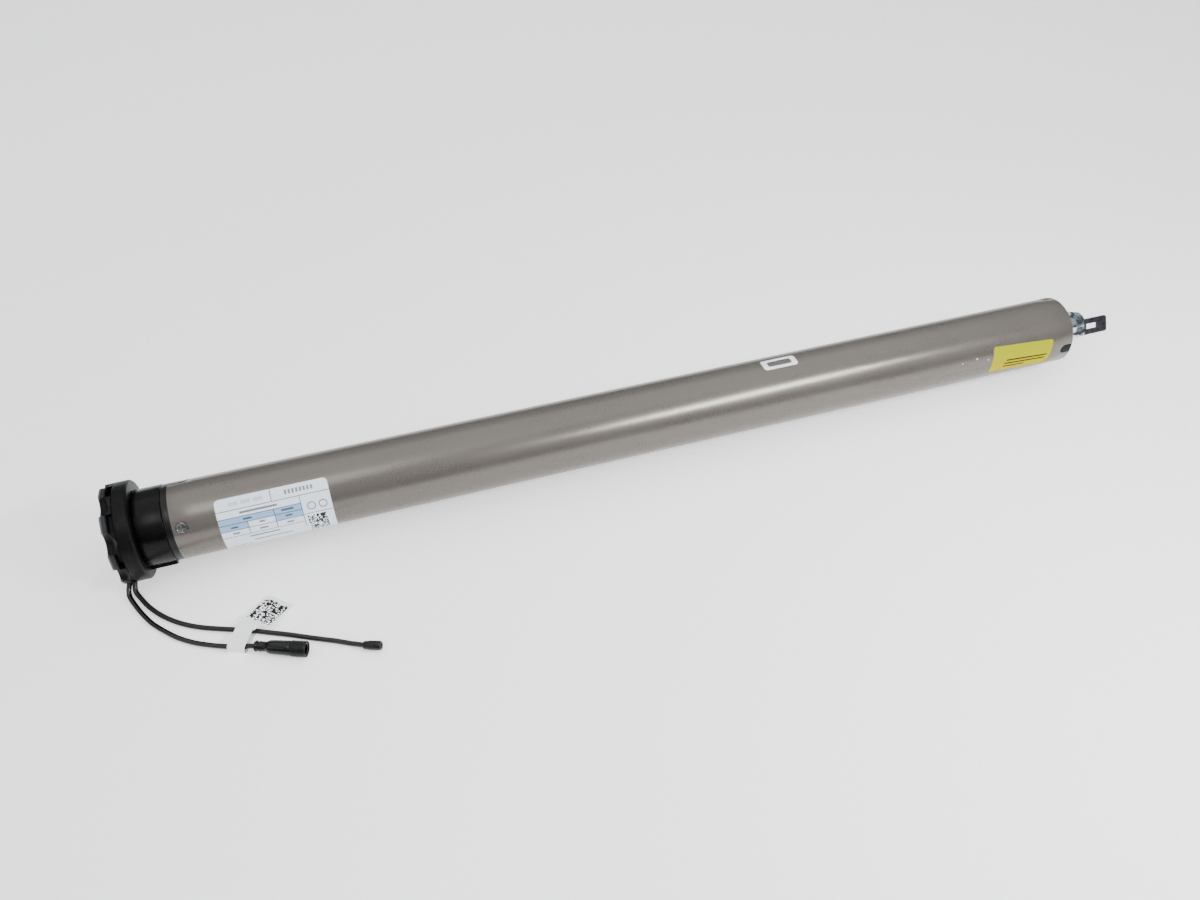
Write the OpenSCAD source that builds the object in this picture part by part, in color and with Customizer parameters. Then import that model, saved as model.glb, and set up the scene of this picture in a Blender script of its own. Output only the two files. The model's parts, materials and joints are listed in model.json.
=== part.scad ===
// Tubular roller blind motor, lying on a table. The axis runs along X, the star shaped head is at the
// negative end, the drive shaft at the positive end, and Z points up. Lengths along the axis are counted
// from the tube's head end. Angles round the axis are 0 at the front (negative Y) and 90 at the top.

/* [Tube] */
// Length of the metal tube
tube_len = 595; // [588:1:640]
// Outer diameter of the tube
tube_d = 45; // [44.6:0.1:48]
// Wall of the tube
tube_wall = 1.2; // [0.9:0.1:1.3]
// Width of the two slots at the head end
head_slot_w = 7; // [3:0.1:8]
// Length of the two slots at the head end
head_slot_len = 11.6; // [6:0.1:16]
// Place of the first head slot round the tube
head_slot_angle = 122; // [100:1:150]
// Width of the three slots at the drive end
drive_slot_w = 7; // [5:0.1:9]
// Length of the three slots at the drive end
drive_slot_len = 8.5; // [6:0.1:12]
// Place of the first drive end slot round the tube
drive_slot_angle = 1.5; // [-10:0.5:20]

/* [Head] */
// Diameter of the round flange of the head
flange_d = 58.6; // [56:0.1:64]
// Thickness of the round flange
flange_len = 8.2; // [8:0.1:14]
// Bevel on the rim of the flange
flange_bevel = 1; // [0.4:0.1:2]
// Diameter over the lobes of the star plate
lobe_d = 58.4; // [56:0.1:60]
// Diameter across the valleys of the star plate
valley_d = 49.4; // [46:0.1:52]
// Half the angle that one valley spans
valley_half_angle = 13; // [10:0.5:15]
// Place of the first lobe round the axis
lobe_angle = 12.5; // [0:0.5:30]
// Thickness of the lobes
lobe_len = 3.6; // [2:0.1:4]
// Length of the step behind the lobes
hub_len = 3; // [1:0.1:3]
// Width of the pocket behind each lobe
pocket_w = 10.6; // [8:0.1:11]
// Radius of the journal that the crown turns on
journal_r = 18.5; // [18.3:0.1:19]
// Radius of the neck inside the crown's teeth and the collar
neck_r = 17.2; // [16.6:0.1:17.3]
// Radius of the hollow in the neck
hollow_r = 15; // [14.6:0.1:15.4]
// Thickness of the web at the bottom of the hollow
web_len = 8.7; // [6:0.1:9]
// Radius of the circle of the four star plate screws
plate_screw_circle_r = 15; // [10:0.5:18]
// Radius of the star plate screws
plate_screw_r = 1.5; // [1:0.1:2]

/* [Crown] */
// Outer diameter of the crown
crown_d = 45.7; // [44:0.1:47]
// Length of the crown
crown_len = 15.6; // [14:0.1:18]
// Length of the teeth in the crown
crown_gear_len = 5.6; // [5:0.1:6]
// Radius over the crown's driving rib
rib_r = 24.5; // [24:0.1:26]
// Width of the driving rib
rib_w = 5; // [3:0.1:7]
// Place of the driving rib round the axis
rib_angle = -45; // [-60:1:-30]
// Gap at each end of the crown
crown_gap = 0.3; // [0.1:0.05:0.6]

/* [Tube plug] */
// Length of the collar outside the tube
collar_len = 3.5; // [2:0.1:5]
// Length of the plug inside the tube
plug_len = 18; // [14:0.5:24]
// Diameter of the heads of the two plug screws
plug_screw_head_d = 7; // [5:0.1:8]
// Thickness of the plug screw heads
plug_screw_head_len = 1.2; // [0.8:0.1:2]
// Radius of the plug screw shanks
plug_screw_r = 1.5; // [1:0.1:2]
// Length of the plug screw shanks
plug_screw_len = 5.4; // [5:0.1:7]
// Distance of the plug screws from the end of the tube
plug_screw_x = 5.2; // [4.5:0.1:8]
// Place of the first plug screw round the tube
plug_screw_angle = 33; // [20:1:45]

/* [Gears] */
// Module of all gears
gear_m = 0.8; // [0.78:0.01:0.81]
// Pressure angle of all gears
pressure = 25; // [24:0.5:27]
// Thinning of each tooth for backlash
backlash = 0.12; // [0.08:0.01:0.2]
// Width of the first stage's planets
stage_1_w = 10; // [7:0.5:11]
// Width of the second stage's planets
stage_2_w = 11.5; // [8:0.5:12.5]
// Width of the third stage's planets
stage_3_w = 15; // [10:0.5:16]
// Thickness of the first carrier
carrier_1_len = 4; // [3:0.5:5]
// Thickness of the second carrier
carrier_2_len = 5; // [4:0.5:6]
// Thickness of the output carrier
carrier_3_len = 8; // [6:0.5:9]
// Radius of the first carrier's planet pins
pin_1_r = 1.6; // [1.2:0.1:2.2]
// Radius of the second carrier's planet pins
pin_2_r = 2; // [1.4:0.1:2.6]
// Radius of the output carrier's planet pins
pin_3_r = 2.5; // [1.8:0.1:3]
// Gap beside each gear
side_gap = 0.4; // [0.2:0.05:0.5]
// Thickness of the wall that closes the ring gear
ring_wall_len = 4; // [3:0.5:5]

/* [Electronics] */
// Length of the board tray
tray_len = 94; // [85:1:100]
// Thickness of the tray
tray_wall = 1.8; // [1.2:0.1:3]
// Height of the board below the axis
board_drop = 4; // [2:0.5:7]
// Thickness of the circuit boards
board_t = 1.6; // [1:0.1:2]
// Radius of the two capacitors
capacitor_r = 5; // [4:0.1:6]
// Length of the capacitors
capacitor_len = 20; // [15:0.5:24]
// Length of the radio module
radio_len = 24; // [18:0.5:30]

/* [Battery] */
// Radius of one cell
cell_r = 9.2; // [9:0.05:9.2]
// Length of one cell
cell_len = 65.2; // [64:0.1:66]
// Most rows of cells along the tube
cell_rows = 3; // [1:1:3]
// Gap between rows of cells
cell_gap = 0.8; // [0.5:0.1:2]
// Wall of the battery sleeve
sleeve_wall = 0.9; // [0.5:0.1:1]
// Thickness of the foam pad before the battery
pad_len = 4; // [2:0.5:6]
// Least length of the foam spacer between battery and motor
spacer_min_len = 4; // [2:0.5:8]

/* [Motor] */
// Length of the motor with its bell
motor_len = 80; // [76:1:90]
// Outer radius of the motor can
can_r = 18.5; // [18.4:0.1:19]
// Wall of the motor can
can_wall = 1.2; // [0.8:0.1:1.2]
// Front wall of the motor can
can_front_len = 3; // [2:0.5:5]
// Length of the bell outside the can
bell_len = 8; // [6:0.5:10]
// Radius of the rotor core
rotor_r = 12.9; // [12.4:0.1:13]
// Length of the rotor core
rotor_len = 34; // [28:1:38]
// Radius of the rotor shaft
rotor_shaft_r = 2.5; // [2:0.1:2.5]
// Radius of the commutator
commutator_r = 5; // [4.4:0.1:5.4]
// Length of the commutator
commutator_len = 8; // [6:0.5:9]
// Gap between rotor and magnets
air_gap = 0.4; // [0.2:0.05:0.6]

/* [Brake] */
// Thickness of the brake housing's wall, which carries the motor
brake_wall_len = 5; // [4:0.5:7]
// Length of the brake coil
coil_len = 14; // [10:0.5:16]
// Travel of the brake armature
brake_travel = 0.3; // [0.2:0.05:0.5]
// Thickness of the brake armature
armature_len = 2.5; // [2:0.1:4]
// Thickness of the brake disc
brake_disc_len = 3; // [2:0.1:4]

/* [Drive end] */
// Length of the end cap inside the tube
cap_len = 20; // [16:0.5:26]
// Length of the bearing housing
bearing_len = 40; // [34:1:48]
// Radius of the output shaft
shaft_r = 7; // [6.6:0.1:7.4]
// Wall of the bronze bushes
bush_wall = 2; // [1.5:0.1:2.5]
// Length of each bronze bush
bush_len = 8; // [6:0.5:12]
// Free length of round shaft outside the tube
seat_len = 16.4; // [14:0.1:20]
// Length of the drive dog
dog_len = 7.6; // [7:0.1:11]
// Height of the dog above the axis
dog_top = 9.5; // [8:0.1:9.5]
// Depth of the dog's pointed lip below the axis
dog_bottom = 9; // [9:0.1:11]
// Slope of the top of the dog
dog_slope = 13; // [0:1:15]
// Bevel along the top of the dog
dog_bevel = 2; // [1:0.1:3]
// Thickness of the dog
dog_t = 9; // [8:0.1:12]
// Place of the flat side of the dog round the axis
drive_angle = 30; // [20:1:60]
// Reach of the flat clip beyond the tube
clip_reach = 46; // [42:0.5:50]
// Width of the flat clip
clip_w = 11.5; // [9.8:0.1:12]
// Offset of the clip's middle below the axis
clip_drop = 3.8; // [3.4:0.1:4]
// Thickness of the flat clip
clip_t = 1.8; // [1.2:0.1:2.4]
// Length of the window in the clip
window_len = 9; // [7:0.1:11]
// Width of the window in the clip
window_w = 3.8; // [2.4:0.1:4]

/* [Labels] */
// Thickness of the stickers
label_t = 0.15; // [0.1:0.01:0.2]
// Length of the rating label
rating_len = 63.5; // [40:0.5:66]
// Start of the rating label along the tube
rating_x = 24.5; // [21:0.5:30]
// Angle that the rating label spans
rating_span_angle = 99.5; // [80:0.5:110]
// Middle of the rating label round the tube
rating_angle = 11.75; // [5:0.25:20]
// Length of the yellow label
yellow_len = 48.5; // [40:0.5:52]
// Distance from the yellow label to the drive end
yellow_inset = 15; // [13:0.5:25]
// Angle that the yellow label spans
yellow_span_angle = 51; // [40:0.5:60]
// Middle of the yellow label round the tube
yellow_angle = 6; // [0:0.5:15]
// Length of the small sticker
small_len = 24; // [18:0.5:30]
// Start of the small sticker along the tube
small_x = 369; // [350:1:400]
// Angle that the small sticker spans
small_span_angle = 25; // [15:0.5:40]
// Middle of the small sticker round the tube
small_angle = 92.5; // [80:0.5:100]

/* [Leads] */
// Diameter of both leads
lead_d = 3; // [2.6:0.1:3]
// Place of the lead exit round the head
exit_angle = -50; // [-52:0.5:-48]
// Distance of the power lead from the tube's head end
power_exit_x = -33; // [-33.1:0.05:-32.9]
// Distance of the aerial lead from the tube's head end
aerial_exit_x = -29.9; // [-30:0.05:-29.8]
// Width of the grommet
grommet_w = 6.6; // [5.6:0.1:8]
// Radius of the grommet's outer face
grommet_r = 25.7; // [25.2:0.1:26.2]
// Length of the power socket
socket_len = 29.5; // [28:0.5:34]
// Diameter of the socket's threaded ring
socket_ring_d = 9.1; // [9:0.05:9.15]
// Length of the socket's threaded ring
socket_ring_len = 8.7; // [8:0.1:12]
// Diameter of the socket's body
socket_body_d = 8.6; // [8.2:0.1:8.8]
// Radius of the socket's mouth
mouth_r = 2.8; // [2.8:0.1:3.4]
// Depth of the socket's mouth
mouth_depth = 9; // [7:0.1:10]
// Length of the aerial cap
aerial_cap_len = 10.5; // [9:0.1:14]
// Diameter of the aerial cap
aerial_cap_d = 5.4; // [5:0.1:5.6]
// Thickness of the paper tag
tag_t = 0.25; // [0.2:0.05:0.3]
// Width of the tag's flag
flag_w = 18; // [16:0.5:20]
// Length of the tag's flag
flag_len = 20.5; // [16:0.5:21]

/* [Clearances] */
// Radial clearance of fixed round fits
fit_gap = 0.03; // [0.02:0.01:0.05]
// Radial clearance of turning fits
run_gap = 0.05; // [0.03:0.01:0.08]
// Gap between stickers and the tube
label_gap = 0.05; // [0.03:0.01:0.08]
// Gap of loose seats and keys
seat_gap = 0.1; // [0.05:0.01:0.2]

/* [Hidden] */
$fn = 96;

// Radii that follow from the tube
tube_r = tube_d / 2;
bore_r = tube_r - tube_wall;
inner_r = bore_r - run_gap;

// Stations of the head, counted from the tube's head end
crown_x = -collar_len - crown_gap - crown_len;
flange_back_x = crown_x - crown_gap;
flange_x = flange_back_x - flange_len;
plate_x = flange_x - hub_len - lobe_len;
teeth_x = crown_x + crown_len - crown_gear_len;
journal_end_x = teeth_x - side_gap / 2;
web_end_x = flange_back_x + web_len;
collar_x = -collar_len;
plate_len = hub_len + lobe_len;

// Encoder pinion under the crown's teeth, with the magnet on its end
pinion_x = teeth_x + side_gap;
pinion_len = crown_gear_len - 2 * side_gap;
pinion_hub_r = 1.5;
pinion_foot_len = 3.5;
pinion_relief_r = 2.3;
pinion_pocket_len = 9;
magnet_x = pinion_x + pinion_len + 1;
magnet_len = 2;
magnet_r = 2.4;
magnet_air_gap = 0.6;
encoder_board_x = magnet_x + magnet_len + magnet_air_gap;

// Star plate: the round cutter of a valley, the ramp behind it and the pocket behind a lobe
lobe_r = lobe_d / 2;
valley_r = valley_d / 2;
valley_cutter_at = (lobe_r * lobe_r - valley_r * valley_r) / (2 * (lobe_r * cos(valley_half_angle) - valley_r));
valley_cutter_r = valley_cutter_at - valley_r;
ramp_rise = lobe_r - valley_r - 0.8;
ramp_step = 0.2;
pocket_sunk = 0.3;
plate_face_t = 1.2;

// Grommet and screws of the head
grommet_foot_r = 17.5;
lead_duct_off = hollow_r - lead_d - 0.5;
lead_duct_w = 2 * lead_d - 1;
lead_duct_len = 4;
plug_screw_seat_r = tube_r - plug_screw_head_len;
plate_screw_reach = 5;
plate_screw_sunk = 0.2;
plate_screw_head_len = 1.8;
cross_slot_w = 0.8;
rib_inset = 0.8;
rib_root = 2;

// Stations inside the tube, counted from the head end
tray_x = plug_len;
pad_x = tray_x + tray_len;
cells_x = pad_x + pad_len;

// Stations inside the tube, counted back from the drive end
cap_x = tube_len - cap_len;
bearing_x = cap_x - bearing_len;
stage_w = [stage_1_w, stage_2_w, stage_3_w];
carrier_len = [carrier_1_len, carrier_2_len, carrier_3_len];
stage_step = [for (i = [0:2]) stage_w[i] + carrier_len[i] + 2 * side_gap];
ring_len = ring_wall_len + 2 * side_gap + stage_step[0] + stage_step[1] + stage_step[2];
ring_x = bearing_x - ring_len;
planet_x = [
    ring_x + ring_wall_len + side_gap,
    ring_x + ring_wall_len + side_gap + stage_step[0],
    ring_x + ring_wall_len + side_gap + stage_step[0] + stage_step[1]
];
carrier_x = [for (i = [0:2]) planet_x[i] + stage_w[i] + side_gap];
brake_len = brake_wall_len + coil_len + brake_travel + armature_len + brake_disc_len + 3 * seat_gap;
brake_x = ring_x - brake_len;
motor_x = brake_x - motor_len;

// The battery gets as many rows of cells as fit before the motor, and the foam spacer fills the rest
cell_step = cell_len + cell_gap;
pack_room = motor_x - spacer_min_len - cells_x;
row_count = min(cell_rows, floor((pack_room - cell_gap) / cell_step));
pack_len = row_count * cell_step + cell_gap;
spacer_x = cells_x + pack_len;
spacer_len = motor_x - spacer_x;

// Brake, from its wall towards the gears
coil_x = brake_x + brake_wall_len;
armature_x = coil_x + coil_len + brake_travel + seat_gap;
brake_disc_x = armature_x + armature_len + seat_gap / 2;
brake_shell_wall = 2.4;
brake_bore_r = inner_r - brake_shell_wall;
shaft_hole_r = rotor_shaft_r + 0.6;
coil_bore_r = 7;
brake_disc_r = brake_bore_r - 1.5;

// Gears: addendum of one module, dedendum of one and a quarter. The sums of the teeth are
// multiples of three, so that three equal planets mesh at once.
sun_teeth = 12;
planet_teeth = 15;
crown_teeth = 46;
pinion_teeth = 12;
pin_r = [pin_1_r, pin_2_r, pin_3_r];
ring_teeth = sun_teeth + 2 * planet_teeth;
sun_pitch_r = gear_m * sun_teeth / 2;
planet_pitch_r = gear_m * planet_teeth / 2;
ring_pitch_r = gear_m * ring_teeth / 2;
centre_r = sun_pitch_r + planet_pitch_r;
crown_pitch_r = gear_m * crown_teeth / 2;
pinion_pitch_r = gear_m * pinion_teeth / 2;
pinion_centre_r = crown_pitch_r - pinion_pitch_r;
carrier_r = ring_pitch_r - gear_m - 2 * side_gap;
tooth_steps = [0, 0.3, 0.6, 1];

// Drive end
shaft_foot_x = carrier_x[2] + 2;
bush_r = shaft_r + run_gap + bush_wall;
shaft_end_x = tube_len + seat_len;
dog_x = shaft_end_x + seat_gap;
tenon_w = 6;
clip_seat = 3;
clip_x = dog_x + dog_len - clip_seat;
clip_len = tube_len + clip_reach - clip_x;
clip_corner_r = 1.5;
window_inset = 8;
dog_groove_depth = 1.6;
dog_groove_w = 1.6;
dog_groove_low = -3.5;

// Boards
board_z = -board_drop;
board_half_w = sqrt(pow(inner_r - 0.2, 2) - pow(board_drop - board_t, 2)) - 0.6;
board_inset = 1;
capacitor_inset = 8;
radio_h = 3;
radio_w = 16;
radio_inset = 4;

// Motor details
screw_r = 1.5;
screw_hole_r = screw_r + fit_gap;
screw_circle_r = 12;
screw_head_len = 1.8;
screw_sunk = 2;
bell_end_len = 4;
bell_wall = 2;
shaft_tail_x = motor_x + 1.3;
commutator_x = motor_x + bell_len + 1;
can_bore_r = can_r - can_wall;
field_r = rotor_r + air_gap;
rotor_inset = 10;
rotor_x = motor_x + bell_len + commutator_len + rotor_inset;
pole_slot_w = 4;
pole_count = 5;
pole_root_r = 5.2;
winding_end_len = 4;
winding_bore_r = 5.3;
magnet_split_w = 5;
magnet_over = 2;
brush_w = 4;
brush_end_r = can_bore_r - bell_wall - 3 * seat_gap;
boss_r = 6;
boss_len = 3;
front_shaft_x = planet_x[0] + stage_w[0];

// The three planets of a stage, and the cells of a row, stand this far apart
third = 120;
cell_circle_r = 2 * cell_r / sqrt(3) + 0.02;
sleeve_bore_r = cell_circle_r + cell_r + seat_gap;

// The whole part stands on Z 0, with the middle of its length at X 0
axis_z = max(flange_d, lobe_d) / 2;
axis_x = -(plate_x + tube_len + clip_reach) / 2;

// Routes of the two leads: X and Y as along the tube, Z above the table
power_route = [
    [-33.0, -15.1, 11.3], [-33.0, -17.4, 8.6], [-33.9, -19.8, 6.1], [-34.9, -22.6, 3.9],
    [-34.6, -26.0, 2.2], [-31.8, -32.2, 1.7], [-27.8, -40.0, 1.6], [-22.6, -48.3, 1.6],
    [-16.2, -55.7, 1.6], [-8.6, -63.1, 1.6], [-0.6, -68.9, 1.7], [8.0, -73.6, 2.0],
    [16.4, -77.5, 2.4], [24.4, -81.0, 3.4], [30.0, -83.0, 4.4], [35.0, -84.9, 4.6]
];
aerial_route = [
    [-29.9, -15.1, 11.3], [-29.9, -17.4, 8.6], [-30.8, -20.3, 5.7], [-31.0, -23.3, 3.3],
    [-29.0, -27.4, 1.9], [-24.1, -35.8, 1.6], [-16.9, -44.7, 1.6], [-7.6, -52.8, 1.6],
    [2.4, -58.9, 1.7], [12.3, -63.4, 1.9], [21.4, -67.0, 2.0], [30.6, -70.6, 2.0],
    [39.8, -74.7, 1.7], [48.8, -78.8, 1.6], [57.6, -83.2, 1.6], [66.4, -87.6, 1.6],
    [75.2, -91.9, 1.6], [82.4, -95.9, 1.7], [86.0, -98.0, 2.2], [89.1, -100.1, 3.0], [92.3, -101.5, 3.37]
];
lead_sides = 8;
lead_hole_r = lead_d / 2 + 0.15;
lead_hole_len = 4;
socket_seat_r = socket_body_d / 2 - 0.4;
socket_bulge_len = 11;
ring_over = 0.6;
grommet_wall = 1.2;
grommet_back_x = aerial_exit_x + lead_hole_r + grommet_wall;
// Foot of each piece on a lead, and the way it points on the table
socket_at = [32, -83.7, 4.6];
socket_turn = -22;
aerial_cap_at = [89.1, -100.1, 3];
aerial_cap_turn = -24;
aerial_cap_tilt = 6;
// Paper tag: middle of its loop, the way its flag points, and the flag's slope
tag_at = [25.6, -75.0];
tag_turn = -26;
loop_w = 18;
loop_h = 6;
loop_len = 10;
flag_at = [34.6, -67.7, 4.6];
flag_turn = 48;
flag_slope = 11.5;

// Helpers

// Puts a piece drawn round the axis where the part stands
module on_axis() translate([axis_x, 0, axis_z]) children();

// Puts a piece drawn along the tube and above the table where the part stands
module on_table() translate([axis_x, 0, 0]) children();

// Turns a piece that is drawn at the front to its place round the axis
module at_angle(angle) rotate([-angle, 0, 0]) children();

// Extrudes a section along the axis, its Y as the part's Y and its X as down
module along(x, len) translate([x, 0, 0]) rotate([0, 90, 0]) linear_extrude(len) children();

// Round bar on the axis
module bar(x, len, r) translate([x, 0, 0]) rotate([0, 90, 0]) cylinder(h = len, r = r);

// Tube on the axis
module sleeve(x, len, outer, inner) along(x, len) difference() {
    circle(outer);
    circle(inner);
}

// Bar that points outwards from the axis
module spoke(x, angle, from, len, r)
    at_angle(angle) translate([x, -from, 0]) rotate([90, 0, 0]) cylinder(h = len, r = r);

// Bar that lies along the axis, away from it
module side_bar(x, len, angle, off, r) at_angle(angle) translate([0, -off, 0]) bar(x, len, r);

// Block that points outwards from the axis, w wide round it
module side_block(x, len, angle, from, to, w)
    at_angle(angle) translate([x, -to, -w / 2]) cube([len, to - from, w]);

// Slot with a round end, open towards one end of the tube
module slot(x, len, angle, from, to, w) {
    away = x > tube_len / 2 ? -1 : 1;
    straight = len - w / 2;
    side_block(away > 0 ? x : x - straight, straight, angle, from, to, w);
    spoke(x + away * straight, angle, from, to - from, w / 2);
}

// Sector of a circle in the section plane, centred on an angle round the axis
module sector(r, angle, span) {
    steps = [for (k = [0:8]) angle - span / 2 + span * k / 8];
    polygon(concat([[0, 0]], [for (a = steps) 1.3 * r * [-sin(a), -cos(a)]]));
}

// Sticker that wraps part of the tube
module sticker(x, len, angle, span) along(x, len) intersection() {
    difference() {
        circle(tube_r + label_gap + label_t);
        circle(tube_r + label_gap);
    }
    sector(tube_r, angle, span);
}

// Involute gears

function involute(a) = tan(a) * 180 / PI - a;

// Half the angle of a tooth at radius r
function half_tooth(n, r, thin) =
    let (pitch_r = gear_m * n / 2, base_r = pitch_r * cos(pressure), a = r > base_r ? acos(base_r / r) : 0)
    90 / n - thin * 90 / (PI * pitch_r) + involute(pressure) - involute(a);

function polar(r, a) = r * [cos(a), sin(a)];

// One tooth at angle 0, as points from one foot over the tip to the other foot
function tooth(n, root, tip, thin, turn) = concat(
    [for (k = tooth_steps) let (r = root + (tip - root) * k) polar(r, turn - half_tooth(n, r, thin))],
    [
        for (i = [len(tooth_steps) - 1:-1:0])
        let (r = root + (tip - root) * tooth_steps[i])
        polar(r, turn + half_tooth(n, r, thin))
    ]
);

module gear_section(n, thin) {
    pitch_r = gear_m * n / 2;
    root = pitch_r - 1.25 * gear_m;
    polygon([for (i = [0:n - 1]) each tooth(n, root, pitch_r + gear_m, thin, 90 + 360 * i / n)]);
}

// The space inside a ring gear
module ring_space(n) {
    pitch_r = gear_m * n / 2;
    root = pitch_r - gear_m;
    tip = pitch_r + 1.25 * gear_m;
    polygon([for (i = [0:n - 1]) each tooth(n, root, tip, -backlash, 90 + 360 * i / n)]);
}

// Gear with a bore, or solid where the bore is 0
module gear(x, len, n, bore = 0) along(x, len) difference() {
    gear_section(n, backlash);
    if (bore > 0) circle(bore);
}

// Tube swept along a route, closed at both ends

function cross3(a, b) = [a[1] * b[2] - a[2] * b[1], a[2] * b[0] - a[0] * b[2], a[0] * b[1] - a[1] * b[0]];
function unit(v) = v / norm(v);
function heading(p, i) = unit(p[min(i + 1, len(p) - 1)] - p[max(i - 1, 0)]);
function side_way(t) = unit(cross3(t, [0, 0, 1]));

function lead_ring(p, i) =
    let (t = heading(p, i), s = side_way(t), u = cross3(s, t))
    [
        for (k = [0:lead_sides - 1])
        let (a = 360 * (k + 0.5) / lead_sides)
        p[i] + lead_d / 2 * (s * cos(a) + u * sin(a))
    ];

module lead(p) {
    n = lead_sides;
    last = len(p) - 1;
    points = [for (i = [0:last]) each lead_ring(p, i)];
    walls = [
        for (i = [0:last - 1])
        for (k = [0:n - 1])
        let (a = i * n + k, b = i * n + (k + 1) % n)
        each [[a, b, b + n], [a, b + n, a + n]]
    ];
    first_end = [for (k = [1:n - 2]) [0, k + 1, k]];
    last_end = [for (k = [1:n - 2]) [last * n, last * n + k, last * n + k + 1]];
    polyhedron(points, concat(walls, first_end, last_end));
}

// Tube and head

module drive_slots(from, to, gap)
    for (k = [0:2])
        slot(tube_len, drive_slot_len - gap, drive_slot_angle + third * k, from, to,
            drive_slot_w - 2 * gap);

module head_slots(from, to, gap)
    for (k = [0:1])
        slot(0, head_slot_len - gap, head_slot_angle + 180 * k, from, to, head_slot_w - 2 * gap);

module plug_screw_places() for (k = [0:1]) at_angle(plug_screw_angle + 180 * k) children();

module motor_tube() color([0.58, 0.55, 0.52]) on_axis() difference() {
    sleeve(0, tube_len, tube_r, bore_r);
    drive_slots(bore_r - 1, tube_r + 1, 0);
    head_slots(bore_r - 1, tube_r + 1, 0);
    plug_screw_places() spoke(plug_screw_x, 0, bore_r - 1, tube_wall + 2, plug_screw_head_d / 2 + seat_gap);
}

// Blocked out space of the grommet in the head, gap wider all round
module grommet_block(gap)
    side_block(plate_x - gap, grommet_back_x - plate_x + 2 * gap, exit_angle, grommet_foot_r - gap,
        grommet_r, grommet_w + 2 * gap);

module flange_profile() polygon([
    [0, 0], [flange_d / 2 - flange_bevel / 2, 0], [flange_d / 2, flange_bevel / 2],
    [flange_d / 2, flange_len - flange_bevel], [flange_d / 2 - flange_bevel, flange_len], [0, flange_len]
]);

module head_flange() color([0.1, 0.1, 0.11]) on_axis() difference() {
    union() {
        translate([flange_x, 0, 0]) rotate([0, 90, 0]) rotate_extrude() flange_profile();
        bar(flange_back_x - 1, journal_end_x - flange_back_x + 1, journal_r);
        bar(flange_back_x, plug_len - flange_back_x, neck_r);
    }
    bar(web_end_x, plug_len - web_end_x + 1, hollow_r);
    side_bar(web_end_x - pinion_foot_len - side_gap, pinion_foot_len + side_gap + 0.5, 90, pinion_centre_r,
        pinion_hub_r + run_gap);
    side_bar(web_end_x, journal_end_x - web_end_x + 1, 90, pinion_centre_r, pinion_relief_r);
    side_bar(journal_end_x, pinion_pocket_len, 90, pinion_centre_r, pinion_pitch_r + 1.5 * gear_m);
    side_bar(flange_x - 1, web_end_x - flange_x + 2, exit_angle, lead_duct_off, lead_d);
    side_block(flange_x - 1, lead_duct_len + 1, exit_angle, lead_duct_off, grommet_foot_r, lead_duct_w);
    grommet_block(seat_gap);
    side_block(flange_x - 1, grommet_back_x - flange_x + 1 + seat_gap, exit_angle, grommet_r - 1, flange_d,
        grommet_w + 2 * seat_gap);
    plate_screw_places() bar(flange_x - 1, plate_screw_reach + 2, plate_screw_r + fit_gap);
    plug_screw_places() spoke(plug_screw_x, 0, hollow_r - 1, neck_r - hollow_r + 2, plug_screw_r + fit_gap);
}

module plate_screw_places()
    for (k = [0:3]) at_angle(lobe_angle + 90 * k) translate([0, -plate_screw_circle_r, 0]) children();

// Centres of the eight lobes, or of the valleys with an offset of half a step
module star_places(offset) for (k = [0:7]) at_angle(lobe_angle + offset + 45 * k) children();

// Star with eight lobes, each valley an arc through its bottom and the corners of its lobes.
// Behind the lobes the valleys run out to the flange as ramps, and each lobe has a pocket.
module star_plate() color([0.13, 0.13, 0.14]) on_axis() difference() {
    bar(plate_x, plate_len, lobe_r);
    star_places(22.5) translate([plate_x, -valley_cutter_at, 0]) rotate([0, 90, 0]) {
        translate([0, 0, -1]) cylinder(h = lobe_len + 1 - ramp_step, r = valley_cutter_r);
        translate([0, 0, lobe_len - 2 * ramp_step])
            cylinder(h = 2 * hub_len, r1 = valley_cutter_r - ramp_step, r2 = valley_cutter_r - 2 * ramp_rise);
    }
    star_places(0) side_block(plate_x + lobe_len, hub_len + 1, 0, valley_r - pocket_sunk, lobe_d, pocket_w);
    grommet_block(seat_gap);
    side_block(plate_x - 1, plate_len + 2, exit_angle, grommet_r - 1, lobe_d, grommet_w + 2 * seat_gap);
    side_block(plate_x + plate_face_t, plate_len, exit_angle, lead_duct_off, grommet_foot_r, lead_duct_w);
    plate_screw_places() {
        bar(plate_x - 1, plate_len + 2, plate_screw_r + fit_gap);
        bar(plate_x - 1, plate_screw_sunk + plate_screw_head_len + 1, 2 * plate_screw_r + seat_gap);
    }
}

module star_plate_screws() color([0.7, 0.7, 0.72]) on_axis() plate_screw_places() difference() {
    union() {
        bar(plate_x + plate_screw_sunk, plate_screw_head_len, 2 * plate_screw_r);
        bar(plate_x + 1, plate_len - 1 + plate_screw_reach, plate_screw_r);
    }
    for (turn = [0, 90]) rotate([turn, 0, 0]) translate([plate_x, -cross_slot_w / 2, -plate_screw_r])
        cube([1, cross_slot_w, 2 * plate_screw_r]);
}

module cable_grommet() color([0.07, 0.07, 0.07]) on_axis() difference() {
    grommet_block(0);
    for (x = [power_exit_x, aerial_exit_x])
        spoke(x, exit_angle, grommet_foot_r - 1, grommet_r - grommet_foot_r + 2, lead_hole_r);
}

module crown() color([0.05, 0.05, 0.06]) on_axis() difference() {
    union() {
        bar(crown_x, crown_len, crown_d / 2);
        side_block(crown_x, crown_len - rib_inset, rib_angle, crown_d / 2 - rib_root, rib_r, rib_w);
    }
    bar(crown_x - 1, teeth_x - crown_x + 1, journal_r + run_gap);
    at_angle(90) along(teeth_x, crown_gear_len + 1) ring_space(crown_teeth);
}

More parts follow.
